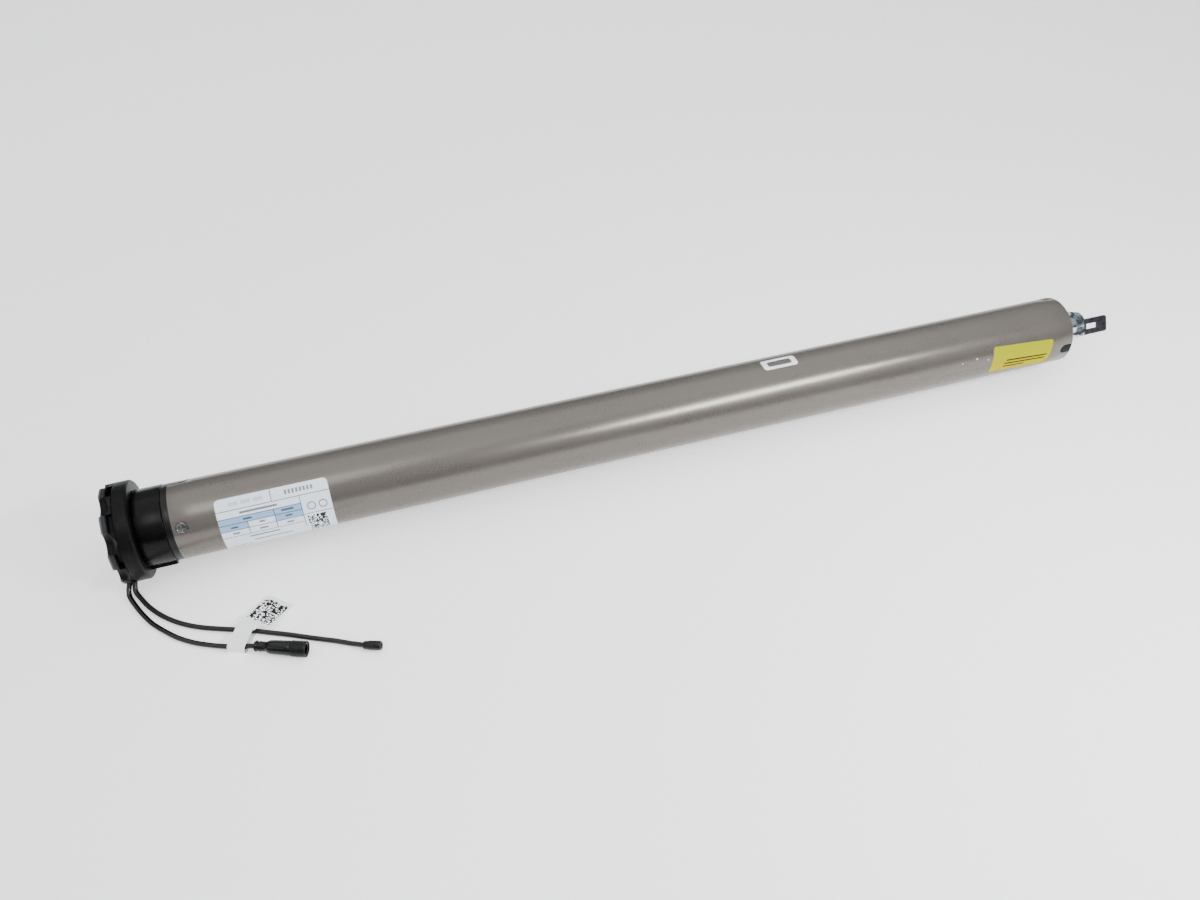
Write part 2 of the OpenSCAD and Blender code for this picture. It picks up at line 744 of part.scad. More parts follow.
module tube_plug() color([0.1, 0.1, 0.11]) on_axis() difference() {
    union() {
        bar(collar_x, collar_len, tube_r);
        bar(0, plug_len, inner_r);
        intersection() {
            head_slots(bore_r - 2, tube_r + 1, seat_gap);
            bar(0, plug_len, tube_r - seat_gap);
        }
    }
    bar(collar_x - 1, collar_len + plug_len + 2, neck_r + run_gap);
    plug_screw_places() {
        spoke(plug_screw_x, 0, neck_r - 1, tube_r - neck_r + 2, plug_screw_r + fit_gap);
        spoke(plug_screw_x, 0, plug_screw_seat_r, plug_screw_head_len + 1,
            plug_screw_head_d / 2 + seat_gap);
    }
}

module plug_screws() color([0.75, 0.75, 0.76]) on_axis() plug_screw_places() difference() {
    union() {
        spoke(plug_screw_x, 0, plug_screw_seat_r, plug_screw_head_len, plug_screw_head_d / 2);
        spoke(plug_screw_x, 0, plug_screw_seat_r - plug_screw_len, plug_screw_len + 0.2, plug_screw_r);
    }
    spoke(plug_screw_x, 0, tube_r - plug_screw_head_len / 2, 2, plug_screw_head_d / 4);
}

// Stickers

module rating_label() color([0.85, 0.88, 0.92]) on_axis()
    sticker(rating_x, rating_len, rating_angle, rating_span_angle);

module yellow_label() color([0.85, 0.82, 0.35]) on_axis()
    sticker(tube_len - yellow_inset - yellow_len, yellow_len, yellow_angle, yellow_span_angle);

module small_label() color([0.9, 0.9, 0.9]) on_axis()
    sticker(small_x, small_len, small_angle, small_span_angle);

// Encoder

module encoder_pinion() color([0.9, 0.9, 0.86]) on_axis() at_angle(90) translate([0, -pinion_centre_r, 0]) {
    rotate([180, 0, 0]) gear(pinion_x, pinion_len, pinion_teeth);
    bar(web_end_x - pinion_foot_len, magnet_x - web_end_x + pinion_foot_len, pinion_hub_r);
}

module encoder_magnet() color([0.3, 0.3, 0.32]) on_axis()
    side_bar(magnet_x, magnet_len, 90, pinion_centre_r, magnet_r);

module encoder_board() color([0.1, 0.35, 0.2]) on_axis()
    along(encoder_board_x, board_t) difference() {
        circle(hollow_r - seat_gap);
        translate([0, -hollow_r]) square([2 * hollow_r, 2 * hollow_r]);
    }

// Electronics

module board_tray() color([0.15, 0.15, 0.16]) on_axis() along(tray_x, tray_len) difference() {
    circle(inner_r);
    circle(inner_r - tray_wall);
    translate([-inner_r - 1, -inner_r - 1]) square([inner_r + 1 - board_z, 2 * inner_r + 2]);
}

module control_board() color([0.1, 0.38, 0.2]) on_axis()
    translate([tray_x + board_inset, -board_half_w, board_z])
        cube([tray_len - 2 * board_inset, 2 * board_half_w, board_t]);

module capacitors() color([0.2, 0.2, 0.3]) on_axis() for (k = [-1, 1])
    translate([0, k * (capacitor_r + 1), board_z + board_t + capacitor_r + seat_gap])
        bar(tray_x + capacitor_inset, capacitor_len, capacitor_r);

module radio_module() color([0.75, 0.76, 0.78]) on_axis()
    translate([tray_x + tray_len - radio_len - radio_inset, -radio_w / 2, board_z + board_t])
        cube([radio_len, radio_w, radio_h]);

// Battery

module battery_cells() color([0.3, 0.5, 0.7]) on_axis()
    for (row = [0:row_count - 1])
    for (k = [0:2])
    side_bar(cells_x + cell_gap + row * cell_step, cell_len, 90 + third * k, cell_circle_r, cell_r);

module battery_sleeve() color([0.2, 0.3, 0.6]) on_axis()
    sleeve(cells_x, pack_len, min(inner_r, sleeve_bore_r + sleeve_wall), sleeve_bore_r);

module foam_pads() color([0.3, 0.3, 0.32]) on_axis() {
    bar(pad_x, pad_len, inner_r);
    bar(spacer_x, spacer_len, inner_r);
}

// Motor

module motor_bell() color([0.12, 0.12, 0.13]) on_axis() difference() {
    union() {
        bar(motor_x, bell_len, inner_r);
        bar(motor_x, bell_len + commutator_len + bell_end_len, can_bore_r - fit_gap);
    }
    bar(motor_x + bell_end_len, motor_len, can_bore_r - bell_wall);
    bar(motor_x + 1, motor_len, rotor_shaft_r + run_gap);
}

module motor_can() color([0.7, 0.7, 0.72]) on_axis() difference() {
    union() {
        bar(motor_x + bell_len, motor_len - bell_len, can_r);
        bar(brake_x, boss_len, boss_r);
    }
    bar(motor_x + bell_len - 1, motor_len - bell_len - can_front_len + 1, can_bore_r);
    bar(motor_x, motor_len + boss_len + 1, rotor_shaft_r + run_gap);
    motor_screw_places() bar(brake_x - can_front_len - 1, can_front_len + 2, screw_hole_r);
}

module motor_screw_places() for (k = [0:1]) at_angle(180 * k) translate([0, -screw_circle_r, 0]) children();

module motor_screws() color([0.6, 0.6, 0.62]) on_axis() motor_screw_places() {
    bar(brake_x - can_front_len + 0.4, can_front_len + brake_wall_len - screw_sunk - 0.4, screw_r);
    bar(brake_x + brake_wall_len - screw_sunk, screw_head_len, 2 * screw_r);
}

module motor_magnets() color([0.25, 0.25, 0.27]) on_axis()
    along(rotor_x - magnet_over, rotor_len + 2 * magnet_over) difference() {
        circle(can_bore_r - fit_gap);
        circle(field_r);
        for (k = [0:1]) rotate(180 * k) translate([0, -magnet_split_w / 2]) square([can_r, magnet_split_w]);
    }

module pole_slots(w, r) for (k = [0:pole_count - 1])
    rotate(360 * k / pole_count) translate([pole_root_r, -w / 2]) square([r - pole_root_r, w]);

module rotor_core() color([0.45, 0.45, 0.47]) on_axis() along(rotor_x, rotor_len) difference() {
    circle(rotor_r);
    circle(rotor_shaft_r + fit_gap);
    pole_slots(pole_slot_w, rotor_r + 1);
}

module rotor_windings() color([0.7, 0.4, 0.15]) on_axis() {
    along(rotor_x, rotor_len) pole_slots(pole_slot_w - 2 * seat_gap, rotor_r - 1);
    for (x = [rotor_x - winding_end_len, rotor_x + rotor_len])
        sleeve(x, winding_end_len, rotor_r - 1, winding_bore_r);
}

module rotor_shaft() color([0.75, 0.75, 0.76]) on_axis()
    bar(shaft_tail_x, front_shaft_x - shaft_tail_x, rotor_shaft_r);

module commutator() color([0.75, 0.5, 0.3]) on_axis()
    sleeve(commutator_x, commutator_len, commutator_r, rotor_shaft_r + fit_gap);

module motor_brushes() color([0.2, 0.2, 0.2]) on_axis() for (k = [0:1])
    side_block(commutator_x + 1, commutator_len - 2, 180 * k, commutator_r + run_gap, brush_end_r,
        brush_w);

// Brake

module brake_housing() color([0.55, 0.55, 0.57]) on_axis() difference() {
    bar(brake_x, brake_len, inner_r);
    bar(coil_x, brake_len, brake_bore_r);
    bar(brake_x - 1, boss_len + 2, boss_r + fit_gap);
    bar(brake_x - 1, brake_len, shaft_hole_r);
    motor_screw_places() {
        bar(brake_x - 1, brake_wall_len + 2, screw_hole_r);
        bar(brake_x + brake_wall_len - screw_sunk, screw_sunk + 1, 2 * screw_r + seat_gap);
    }
}

module brake_coil() color([0.6, 0.35, 0.15]) on_axis()
    sleeve(coil_x, coil_len, brake_bore_r - seat_gap, coil_bore_r);

module brake_armature() color([0.5, 0.5, 0.52]) on_axis()
    sleeve(armature_x, armature_len, brake_bore_r - seat_gap, shaft_hole_r);

module brake_disc() color([0.35, 0.3, 0.25]) on_axis()
    sleeve(brake_disc_x, brake_disc_len, brake_disc_r, rotor_shaft_r + fit_gap);

// Gearbox

module ring_gear() color([0.72, 0.72, 0.7]) on_axis() difference() {
    bar(ring_x, ring_len, inner_r);
    at_angle(90) along(ring_x + ring_wall_len, ring_len) ring_space(ring_teeth);
    bar(ring_x - 1, ring_wall_len + 2, rotor_shaft_r + run_gap);
}

module sun_gear() color([0.7, 0.6, 0.35]) on_axis()
    gear(planet_x[0], stage_w[0], sun_teeth, rotor_shaft_r + fit_gap);

module planet(stage, turn) color([0.85, 0.82, 0.7]) on_axis() at_angle(90 + turn)
    translate([0, -centre_r, 0]) rotate([180, 0, 0])
        gear(planet_x[stage], stage_w[stage], planet_teeth, pin_r[stage] + run_gap);

// Plate with the pins of its own stage
module carrier(stage) {
    bar(carrier_x[stage], carrier_len[stage], carrier_r);
    for (k = [0:2])
        side_bar(planet_x[stage] - side_gap / 2, stage_w[stage] + 2 * side_gap, 90 + third * k,
            centre_r, pin_r[stage]);
}

module carrier_with_sun(stage) color([0.7, 0.7, 0.68]) on_axis() {
    carrier(stage);
    rotate([180, 0, 0]) gear(carrier_x[stage] + carrier_len[stage] - 0.5,
        planet_x[stage + 1] + stage_w[stage + 1] - carrier_x[stage] - carrier_len[stage] + 0.5, sun_teeth);
}

module carrier_1() carrier_with_sun(0);
module carrier_2() carrier_with_sun(1);

module output_carrier() color([0.7, 0.7, 0.68]) on_axis() difference() {
    carrier(2);
    bar(shaft_foot_x, carrier_3_len, shaft_r + fit_gap);
}

module planet_1a() planet(0, 0);
module planet_1b() planet(0, third);
module planet_1c() planet(0, 2 * third);
module planet_2a() planet(1, 0);
module planet_2b() planet(1, third);
module planet_2c() planet(1, 2 * third);
module planet_3a() planet(2, 0);
module planet_3b() planet(2, third);
module planet_3c() planet(2, 2 * third);

// Drive end

module bearing_housing() color([0.6, 0.61, 0.63]) on_axis() difference() {
    bar(bearing_x, bearing_len, inner_r);
    bar(bearing_x - 1, bearing_len + 2, shaft_r + 1);
    bar(bearing_x - 1, bush_len + 1, bush_r + fit_gap);
    bar(cap_x - bush_len, bush_len + 1, bush_r + fit_gap);
}

module output_bushes() color([0.75, 0.6, 0.3]) on_axis() {
    sleeve(bearing_x, bush_len, bush_r, shaft_r + run_gap);
    sleeve(cap_x - bush_len, bush_len, bush_r, shaft_r + run_gap);
}

module end_cap() color([0.1, 0.1, 0.11]) on_axis() difference() {
    union() {
        bar(cap_x, cap_len, inner_r);
        intersection() {
            drive_slots(bore_r - 2, tube_r + 1, seat_gap);
            bar(cap_x, cap_len, tube_r - seat_gap);
        }
    }
    bar(cap_x - 1, cap_len + 2, shaft_r + seat_gap);
}

module output_shaft() color([0.72, 0.74, 0.77]) on_axis() {
    bar(shaft_foot_x, shaft_end_x - shaft_foot_x, shaft_r);
    translate([shaft_end_x - 1, -tenon_w / 2, -tenon_w / 2])
        cube([clip_x - seat_gap - shaft_end_x + 1, tenon_w, tenon_w]);
}

// Outline of the dog seen from its flat side: X along the shaft, Y across it
module dog_outline() polygon([
    [0, -7.1], [0, dog_top], [dog_len - 2.6, dog_top - (dog_len - 2.6) * tan(dog_slope)], [dog_len, 3.9],
    [dog_len, -7.3], [dog_len - 2, -7.6], [dog_len / 2 + 0.7, -dog_bottom], [dog_len / 2 - 0.9, -7.3]
]);

// Slab parallel to the dog's flat side, from depth a to depth b in front of the axis
module flat_slab(a, b) rotate([90, 0, 0]) translate([0, 0, a]) linear_extrude(b - a) children();

module drive_dog() color([0.72, 0.76, 0.8]) on_axis() difference() {
    at_angle(drive_angle) translate([dog_x, 0, 0]) difference() {
        flat_slab(-dog_t / 2, dog_t / 2) dog_outline();
        translate([0, -dog_t / 2, dog_top - dog_bevel]) rotate([0, dog_slope, 0]) rotate([45, 0, 0])
            translate([-dog_len, 0, 0]) cube([3 * dog_len, dog_t, dog_t]);
        flat_slab(dog_t / 2 - dog_groove_depth, dog_t)
            translate([-1, dog_groove_low]) square([dog_len + 3, dog_groove_w]);
        flat_slab(-clip_t / 2 - fit_gap, clip_t / 2 + fit_gap)
            translate([dog_len - clip_seat - fit_gap, -clip_drop - clip_w / 2 - dog_bottom])
                square([clip_len, clip_w + dog_bottom + fit_gap]);
    }
    translate([dog_x - 1, -tenon_w / 2 - fit_gap, -tenon_w / 2 - fit_gap])
        cube([clip_x - dog_x + 1, tenon_w + 2 * fit_gap, tenon_w + 2 * fit_gap]);
}

module rounded_plate(w, h, r) union() {
    translate([0, r]) square([w, h - 2 * r]);
    translate([0, 0]) square([w - r, h]);
    for (y = [r, h - r]) translate([w - r, y]) circle(r);
}

module drive_clip() color([0.2, 0.2, 0.22]) on_axis() at_angle(drive_angle) translate([clip_x, 0, 0])
    flat_slab(-clip_t / 2, clip_t / 2) translate([0, -clip_drop - clip_w / 2]) difference() {
        rounded_plate(clip_len, clip_w, clip_corner_r);
        translate([clip_len - window_len - window_inset, clip_w / 2 - window_w / 2])
            square([window_len, window_w]);
    }

// Leads and what is on them

module power_lead() color([0.06, 0.06, 0.07]) on_table() lead(power_route);

module aerial_lead() color([0.06, 0.06, 0.07]) on_table() lead(aerial_route);

module at_place(place, turn, tilt = 0)
    on_table() translate(place) rotate([0, 0, turn]) rotate([0, 90 - tilt, 0]) children();

// Half outline of the socket: radius first, then length from its foot
module socket_profile() {
    neck_end = socket_len - socket_ring_len - socket_bulge_len;
    body_end = socket_len - socket_ring_len;
    polygon([
        [0, 0], [2.4, 0], [3.1, 0.8], [3.2, 1.6], [2.7, 2.4], [2.7, 3], [3.2, 3.8], [3.1, 4.8], [2.85, 5.4],
        [2.85, neck_end - 3], [socket_body_d / 2 - 0.4, neck_end], [socket_body_d / 2, body_end],
        [socket_seat_r, body_end], [socket_seat_r, socket_len - ring_over], [0, socket_len - ring_over]
    ]);
}

module lead_socket() color([0.06, 0.06, 0.07]) at_place(socket_at, socket_turn) difference() {
    rotate_extrude() socket_profile();
    translate([0, 0, -1]) cylinder(h = lead_hole_len + 1, r = lead_hole_r);
    translate([0, 0, socket_len - ring_over - mouth_depth]) cylinder(h = mouth_depth + 1, r = mouth_r);
}

module socket_ring() color([0.08, 0.08, 0.09]) at_place(socket_at, socket_turn)
    translate([0, 0, socket_len - socket_ring_len + seat_gap / 2]) difference() {
        cylinder(h = socket_ring_len - seat_gap / 2, r = socket_ring_d / 2);
        translate([0, 0, -1]) cylinder(h = socket_ring_len + 2, r = socket_seat_r + fit_gap);
    }

module aerial_cap() color([0.07, 0.07, 0.08])
    at_place(aerial_cap_at, aerial_cap_turn, aerial_cap_tilt) difference() {
    cylinder(h = aerial_cap_len, r = aerial_cap_d / 2);
    translate([0, 0, -1]) cylinder(h = lead_hole_len + 1, r = lead_hole_r);
    translate([0, 0, aerial_cap_len - 1]) cylinder(h = 2, r = aerial_cap_d / 4);
}

// Long hole outline, w wide and h high, standing on Y 0
module stadium(w, h) union() {
    translate([-(w - h) / 2, 0]) square([w - h, h]);
    for (k = [-1, 1]) translate([k * (w - h) / 2, h / 2]) circle(h / 2);
}

module lead_tag() color([0.93, 0.93, 0.95]) on_table() {
    translate([tag_at[0], tag_at[1], 0.05]) rotate([0, 0, tag_turn]) translate([-loop_len / 2, 0, 0])
        rotate([90, 0, 90]) linear_extrude(loop_len) difference() {
            stadium(loop_w, loop_h);
            translate([0, tag_t]) stadium(loop_w - 2 * tag_t, loop_h - 2 * tag_t);
        }
    translate(flag_at) rotate([0, 0, flag_turn]) rotate([0, flag_slope, 0]) linear_extrude(tag_t) polygon([
        [-6.2, -2.5], [-1.5, -3.5], [0.5, -flag_w / 2], [flag_len, -flag_w / 2],
        [flag_len, flag_w / 2], [0, flag_w / 2], [-4, flag_w / 2], [-6.2, flag_w / 2 - 0.8]
    ]);
}

motor_tube();
head_flange();
star_plate();
star_plate_screws();
crown();
tube_plug();
plug_screws();
cable_grommet();
rating_label();
yellow_label();
small_label();
end_cap();
output_shaft();
drive_dog();
drive_clip();
power_lead();
aerial_lead();
lead_socket();
socket_ring();
aerial_cap();
lead_tag();
encoder_pinion();
encoder_magnet();
encoder_board();
board_tray();
control_board();
capacitors();
radio_module();
battery_cells();
battery_sleeve();
foam_pads();
motor_can();
motor_bell();
motor_magnets();
rotor_core();
rotor_windings();
rotor_shaft();
commutator();
motor_brushes();
motor_screws();
brake_housing();
brake_coil();
brake_armature();
brake_disc();
ring_gear();
sun_gear();
carrier_1();
carrier_2();
output_carrier();
planet_1a();
planet_1b();
planet_1c();
planet_2a();
planet_2b();
planet_2c();
planet_3a();
planet_3b();
planet_3c();
bearing_housing();
output_bushes();
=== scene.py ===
import json
import math

import bmesh
import bpy
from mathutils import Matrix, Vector


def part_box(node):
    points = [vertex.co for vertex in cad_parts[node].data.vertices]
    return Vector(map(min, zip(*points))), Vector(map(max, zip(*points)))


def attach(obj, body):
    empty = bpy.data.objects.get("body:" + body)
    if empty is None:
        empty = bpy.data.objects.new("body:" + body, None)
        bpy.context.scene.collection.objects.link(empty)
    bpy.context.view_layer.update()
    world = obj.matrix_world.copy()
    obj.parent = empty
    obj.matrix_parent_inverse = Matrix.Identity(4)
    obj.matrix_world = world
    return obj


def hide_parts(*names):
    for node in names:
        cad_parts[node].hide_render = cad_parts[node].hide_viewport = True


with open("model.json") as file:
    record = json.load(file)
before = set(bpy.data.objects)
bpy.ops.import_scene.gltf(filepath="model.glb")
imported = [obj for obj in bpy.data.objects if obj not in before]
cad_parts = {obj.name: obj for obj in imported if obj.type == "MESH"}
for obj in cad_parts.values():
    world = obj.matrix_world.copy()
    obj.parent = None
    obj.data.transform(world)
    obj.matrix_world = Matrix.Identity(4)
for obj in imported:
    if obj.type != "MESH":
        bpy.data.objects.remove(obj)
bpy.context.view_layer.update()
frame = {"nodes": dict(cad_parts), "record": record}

# Sizes and places are in millimetres, measured from the tube's head end, from its axis or from the table,
# and MM turns them into metres. Only the camera, the floor and the lights are placed in metres. Angles
# round the axis are 0 at the front and 90 at the top.
MM = 0.001
HEAD_R = 29.3
HEAD_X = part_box("motor_tube")[0].x
AXIS_Z = HEAD_R * MM
ON_AXIS = Vector((HEAD_X, 0, AXIS_Z))
ON_TABLE = Vector((HEAD_X, 0, 0))
LOBES_X = (-34.1, -31.2)

TUBE_LEN = 595
TUBE_R = 22.5
TUBE_BORE_R = 21.3
SLOT_W = 7
HEAD_SLOTS = 2
HEAD_SLOT_LEN = 11.6
HEAD_SLOT_ANGLE = 122
DRIVE_SLOTS = 3
DRIVE_SLOT_LEN = 8.5
DRIVE_SLOT_ANGLE = 1.5
# Each chip in the tube's lacquer is a place along the tube, an angle and a radius.
CHIPS = ((508, 18, 0.55), (510.5, 19.5, 0.35), (519, 21, 0.8), (528, 15, 0.6))

PLUG_SCREWS = 2
PLUG_SCREW_X = 5.2
PLUG_SCREW_ANGLE = 33
PLUG_SCREW_R = 3.5
PLUG_SCREW_HEIGHT = 1.2
PLUG_SCREW_GAP = 0.1
CLIP_BEND_X = 621.3

FILM_THICK = 0.14
FILM_LIFT = 0.05
RATING_LEN = 63.5
RATING_HEIGHT = 39.0
RATING_START = 24.5
RATING_ANGLE = 11.75
YELLOW_LEN = 47.0
YELLOW_HEIGHT = 20.0
YELLOW_MIDDLE = 554.9
YELLOW_ANGLE = 6
YELLOW_TURN = 4
SMALL_LEN = 23.6
SMALL_HEIGHT = 9.6
SMALL_MIDDLE = 381
SMALL_ANGLE = 92.5
SMALL_WINDOW = (16.5, 5)

FLAG_AT = Vector((34.6, -67.7, 4.6))
FLAG_TURN = 48
FLAG_LEN = 20.5
FLAG_W = 18

CAMERA_AT = (-0.18685, -0.4450, 0.4708)
CAMERA_LOOK = (0.2164, 0.6779, -0.7026)
CAMERA_LENS = 30.18
SENSOR_WIDTH = 36
FLOOR_MIDDLE = (0.3, 0.85, -0.0001)
FLOOR_SIZE = (7, 3.6, 1)

LEAD_D = 3
POWER_ROUTE = [
    (-33.0, -15.1, 11.3), (-33.0, -17.4, 8.6), (-33.8, -19.8, 6.1), (-34.68, -22.6, 3.9),
    (-34.45, -26.0, 2.2), (-31.8, -32.2, 1.7), (-27.8, -40.0, 1.6), (-22.6, -48.3, 1.6),
    (-16.2, -55.7, 1.6), (-8.6, -63.1, 1.6), (-0.6, -68.9, 1.7), (8.0, -73.6, 2.0),
    (16.4, -77.5, 2.4), (24.4, -81.0, 3.4), (30.0, -83.0, 4.4), (35.0, -84.9, 4.6),
]
AERIAL_ROUTE = [
    (-29.9, -15.1, 11.3), (-29.9, -17.4, 8.6), (-30.8, -20.3, 5.7), (-31.0, -23.3, 3.3),
    (-29.0, -27.4, 1.9), (-24.1, -35.8, 1.6), (-16.9, -44.7, 1.6), (-7.6, -52.8, 1.6),
    (2.4, -58.9, 1.7), (12.3, -63.4, 1.9), (21.4, -67.0, 2.0), (30.6, -70.6, 2.0),
    (39.8, -74.7, 1.7), (48.8, -78.8, 1.6), (57.6, -83.2, 1.6), (66.4, -87.6, 1.6),
    (75.2, -91.9, 1.6), (82.4, -95.9, 1.7), (86.0, -98.0, 2.2), (89.1, -100.1, 3.0), (92.3, -101.5, 3.37),
]
SOCKET_AT = (32, -83.7, 4.6)
SOCKET_TURN = -22
AERIAL_CAP_AT = (89.1, -100.1, 3)
AERIAL_CAP_TURN = -24
AERIAL_CAP_TILT = 6


# Camera

def make_camera():
    data = bpy.data.cameras.new("camera")
    data.sensor_width = SENSOR_WIDTH
    data.lens = CAMERA_LENS
    data.clip_end = 100
    camera = bpy.data.objects.new("camera", data)
    bpy.context.scene.collection.objects.link(camera)
    camera.location = CAMERA_AT
    camera.rotation_euler = Vector(CAMERA_LOOK).to_track_quat("-Z", "Y").to_euler()
    bpy.context.scene.camera = camera


# Modelling helpers

def pick_nothing():
    bpy.ops.object.select_all(action="DESELECT")


def pick(piece):
    pick_nothing()
    piece.select_set(True)
    bpy.context.view_layer.objects.active = piece


def edit(piece):
    pick(piece)
    bpy.ops.object.mode_set(mode="EDIT")


def leave():
    bpy.ops.object.mode_set(mode="OBJECT")


def named(name):
    """The object just added, under its own name and with its place in its mesh."""
    piece = bpy.context.object
    piece.name = piece.data.name = name
    bpy.ops.object.transform_apply()
    return piece


def place(piece, at=(0, 0, 0), turn=(0, 0, 0)):
    """Turns a piece about the origin and then moves it, in its mesh."""
    pick(piece)
    piece.rotation_euler = [math.radians(a) for a in turn]
    bpy.ops.object.transform_apply(location=False, rotation=True, scale=False)
    piece.location = at
    bpy.ops.object.transform_apply(location=True, rotation=False, scale=False)
    return piece


def turned(name, stations, sides):
    """Shell turned round the X axis. Each station is a place along it and a radius, and the last station
    meets the first."""
    x, r = stations[0]
    pick_nothing()
    bpy.ops.mesh.primitive_circle_add(
        vertices=sides, radius=r * MM, location=(x * MM, 0, 0), rotation=(0, math.pi / 2, 0),
        fill_type="NOTHING")
    piece = named(name)
    edit(piece)
    bpy.ops.mesh.select_all(action="SELECT")
    for next_x, next_r in stations[1:]:
        step = ((next_x - x) * MM, 0, 0)
        bpy.ops.mesh.extrude_region_move(TRANSFORM_OT_translate={"value": step})
        grow = next_r / r
        bpy.ops.transform.resize(value=(1, grow, grow), center_override=(next_x * MM, 0, 0))
        x, r = next_x, next_r
    bpy.ops.mesh.select_all(action="SELECT")
    bpy.ops.mesh.remove_doubles(threshold=1e-6)
    bpy.ops.mesh.normals_make_consistent(inside=False)
    leave()
    return piece


def reach_of(point):
    """Distance of a point from the tube's axis, in millimetres."""
    return math.hypot(point.y, point.z - AXIS_Z) / MM


def spread(start, count):
    """Angles of a pattern round the axis."""
    return [start + 360 / count * k for k in range(count)]


def pick_edges(piece, sharp, beyond):
    """Selects, in edit mode, the edges that are sharper than an angle, all or those beyond a reach."""
    bpy.ops.mesh.select_mode(type="EDGE")
    bpy.ops.mesh.select_all(action="DESELECT")
    mesh = bmesh.from_edit_mesh(piece.data)
    for edge in mesh.edges:
        if len(edge.link_faces) == 2 and edge.calc_face_angle() > math.radians(sharp):
            if beyond is None or all(reach_of(v.co) > beyond for v in edge.verts):
                edge.select_set(True)
    bmesh.update_edit_mesh(piece.data)


def round_edges(piece, width, segments, sharp=30, beyond=None):
    edit(piece)
    pick_edges(piece, sharp, beyond)
    bpy.ops.mesh.bevel(offset=width * MM, segments=segments, affect="EDGES", clamp_overlap=True)
    bpy.ops.mesh.select_all(action="SELECT")
    bpy.ops.mesh.remove_doubles(threshold=5e-7)
    bpy.ops.mesh.select_mode(type="VERT")
    leave()
    return piece


def smooth(piece, angle=32):
    pick(piece)
    bpy.ops.object.shade_smooth_by_angle(angle=math.radians(angle))
    return piece


def cut(piece, tool):
    """Cuts a piece with a tool and throws the tool away."""
    pick(piece)
    change = piece.modifiers.new("cut", "BOOLEAN")
    change.operation = "DIFFERENCE"
    change.solver = "EXACT"
    change.object = tool
    bpy.ops.object.modifier_apply(modifier=change.name)
    bpy.data.objects.remove(tool)
    return piece


def join(name, pieces):
    pick_nothing()
    for piece in pieces:
        piece.select_set(True)
    bpy.context.view_layer.objects.active = pieces[0]
    bpy.ops.object.join()
    pieces[0].name = pieces[0].data.name = name
    return pieces[0]


def refined(node, name, width, segments, beyond=None):
    """A copy of a CAD node with its doubles merged and its edges rounded, to stand for the node."""
    pick(frame["nodes"][node])
    bpy.ops.object.duplicate()
    piece = bpy.context.object
    for key in list(piece.keys()):
        del piece[key]
    piece.parent = None
    piece.name = piece.data.name = name
    piece.data.materials.clear()
    edit(piece)
    bpy.ops.mesh.customdata_custom_splitnormals_clear()
    bpy.ops.mesh.select_all(action="SELECT")
    bpy.ops.mesh.remove_doubles(threshold=2e-6)
    bpy.ops.mesh.dissolve_limited(angle_limit=math.radians(0.3))
    leave()
    return smooth(round_edges(piece, width, segments, beyond=beyond))


def wall_cutter(x, angle, width, stretch=0):
    """Round cutter through the tube's wall. For a slot, the half on the stretch's side is drawn out."""
    inside, outside = TUBE_BORE_R - 2.3, TUBE_R + 2.5
    pick_nothing()
    bpy.ops.mesh.primitive_cylinder_add(
        vertices=48, radius=width / 2 * MM, depth=(outside - inside) * MM,
        location=(x * MM, -(inside + outside) / 2 * MM, 0), rotation=(math.pi / 2, 0, 0))
    cutter = named("wall_cutter")
    if stretch:
        edit(cutter)
        bpy.ops.mesh.select_mode(type="VERT")
        bpy.ops.mesh.select_all(action="DESELECT")
        mesh = bmesh.from_edit_mesh(cutter.data)
        for v in mesh.verts:
            if (v.co.x - x * MM) * stretch > 1e-6:
                v.select_set(True)
        bmesh.update_edit_mesh(cutter.data)
        bpy.ops.transform.translate(value=(stretch * MM, 0, 0))
        leave()
    return place(cutter, turn=(-angle, 0, 0))


# Shader maths

class Wire:
    """A value that runs through a material. Python's operators add its Math nodes."""

    def __init__(self, finish, socket):
        self.finish = finish
        self.socket = socket

    def maths(self, operation, first, second=None):
        values = {0: first} if second is None else {0: first, 1: second}
        return self.finish.node("Math", {"operation": operation}, values)

    def __add__(self, other):
        return self.maths("ADD", self, other)

    def __sub__(self, other):
        return self.maths("SUBTRACT", self, other)

    def __rsub__(self, other):
        return self.maths("SUBTRACT", other, self)

    def __mul__(self, other):
        return self.maths("MULTIPLY", self, other)

    def __truediv__(self, other):
        return self.maths("DIVIDE", self, other)

    def __pow__(self, other):
        return self.maths("POWER", self, other)

    def __lt__(self, other):
        return self.maths("LESS_THAN", self, other)

    def __gt__(self, other):
        return self.maths("GREATER_THAN", self, other)

    def __abs__(self):
        return self.maths("ABSOLUTE", self)

    def __floor__(self):
        return self.maths("FLOOR", self)

    def root(self):
        return self.maths("SQRT", self)

    __radd__ = __add__
    __rmul__ = __mul__


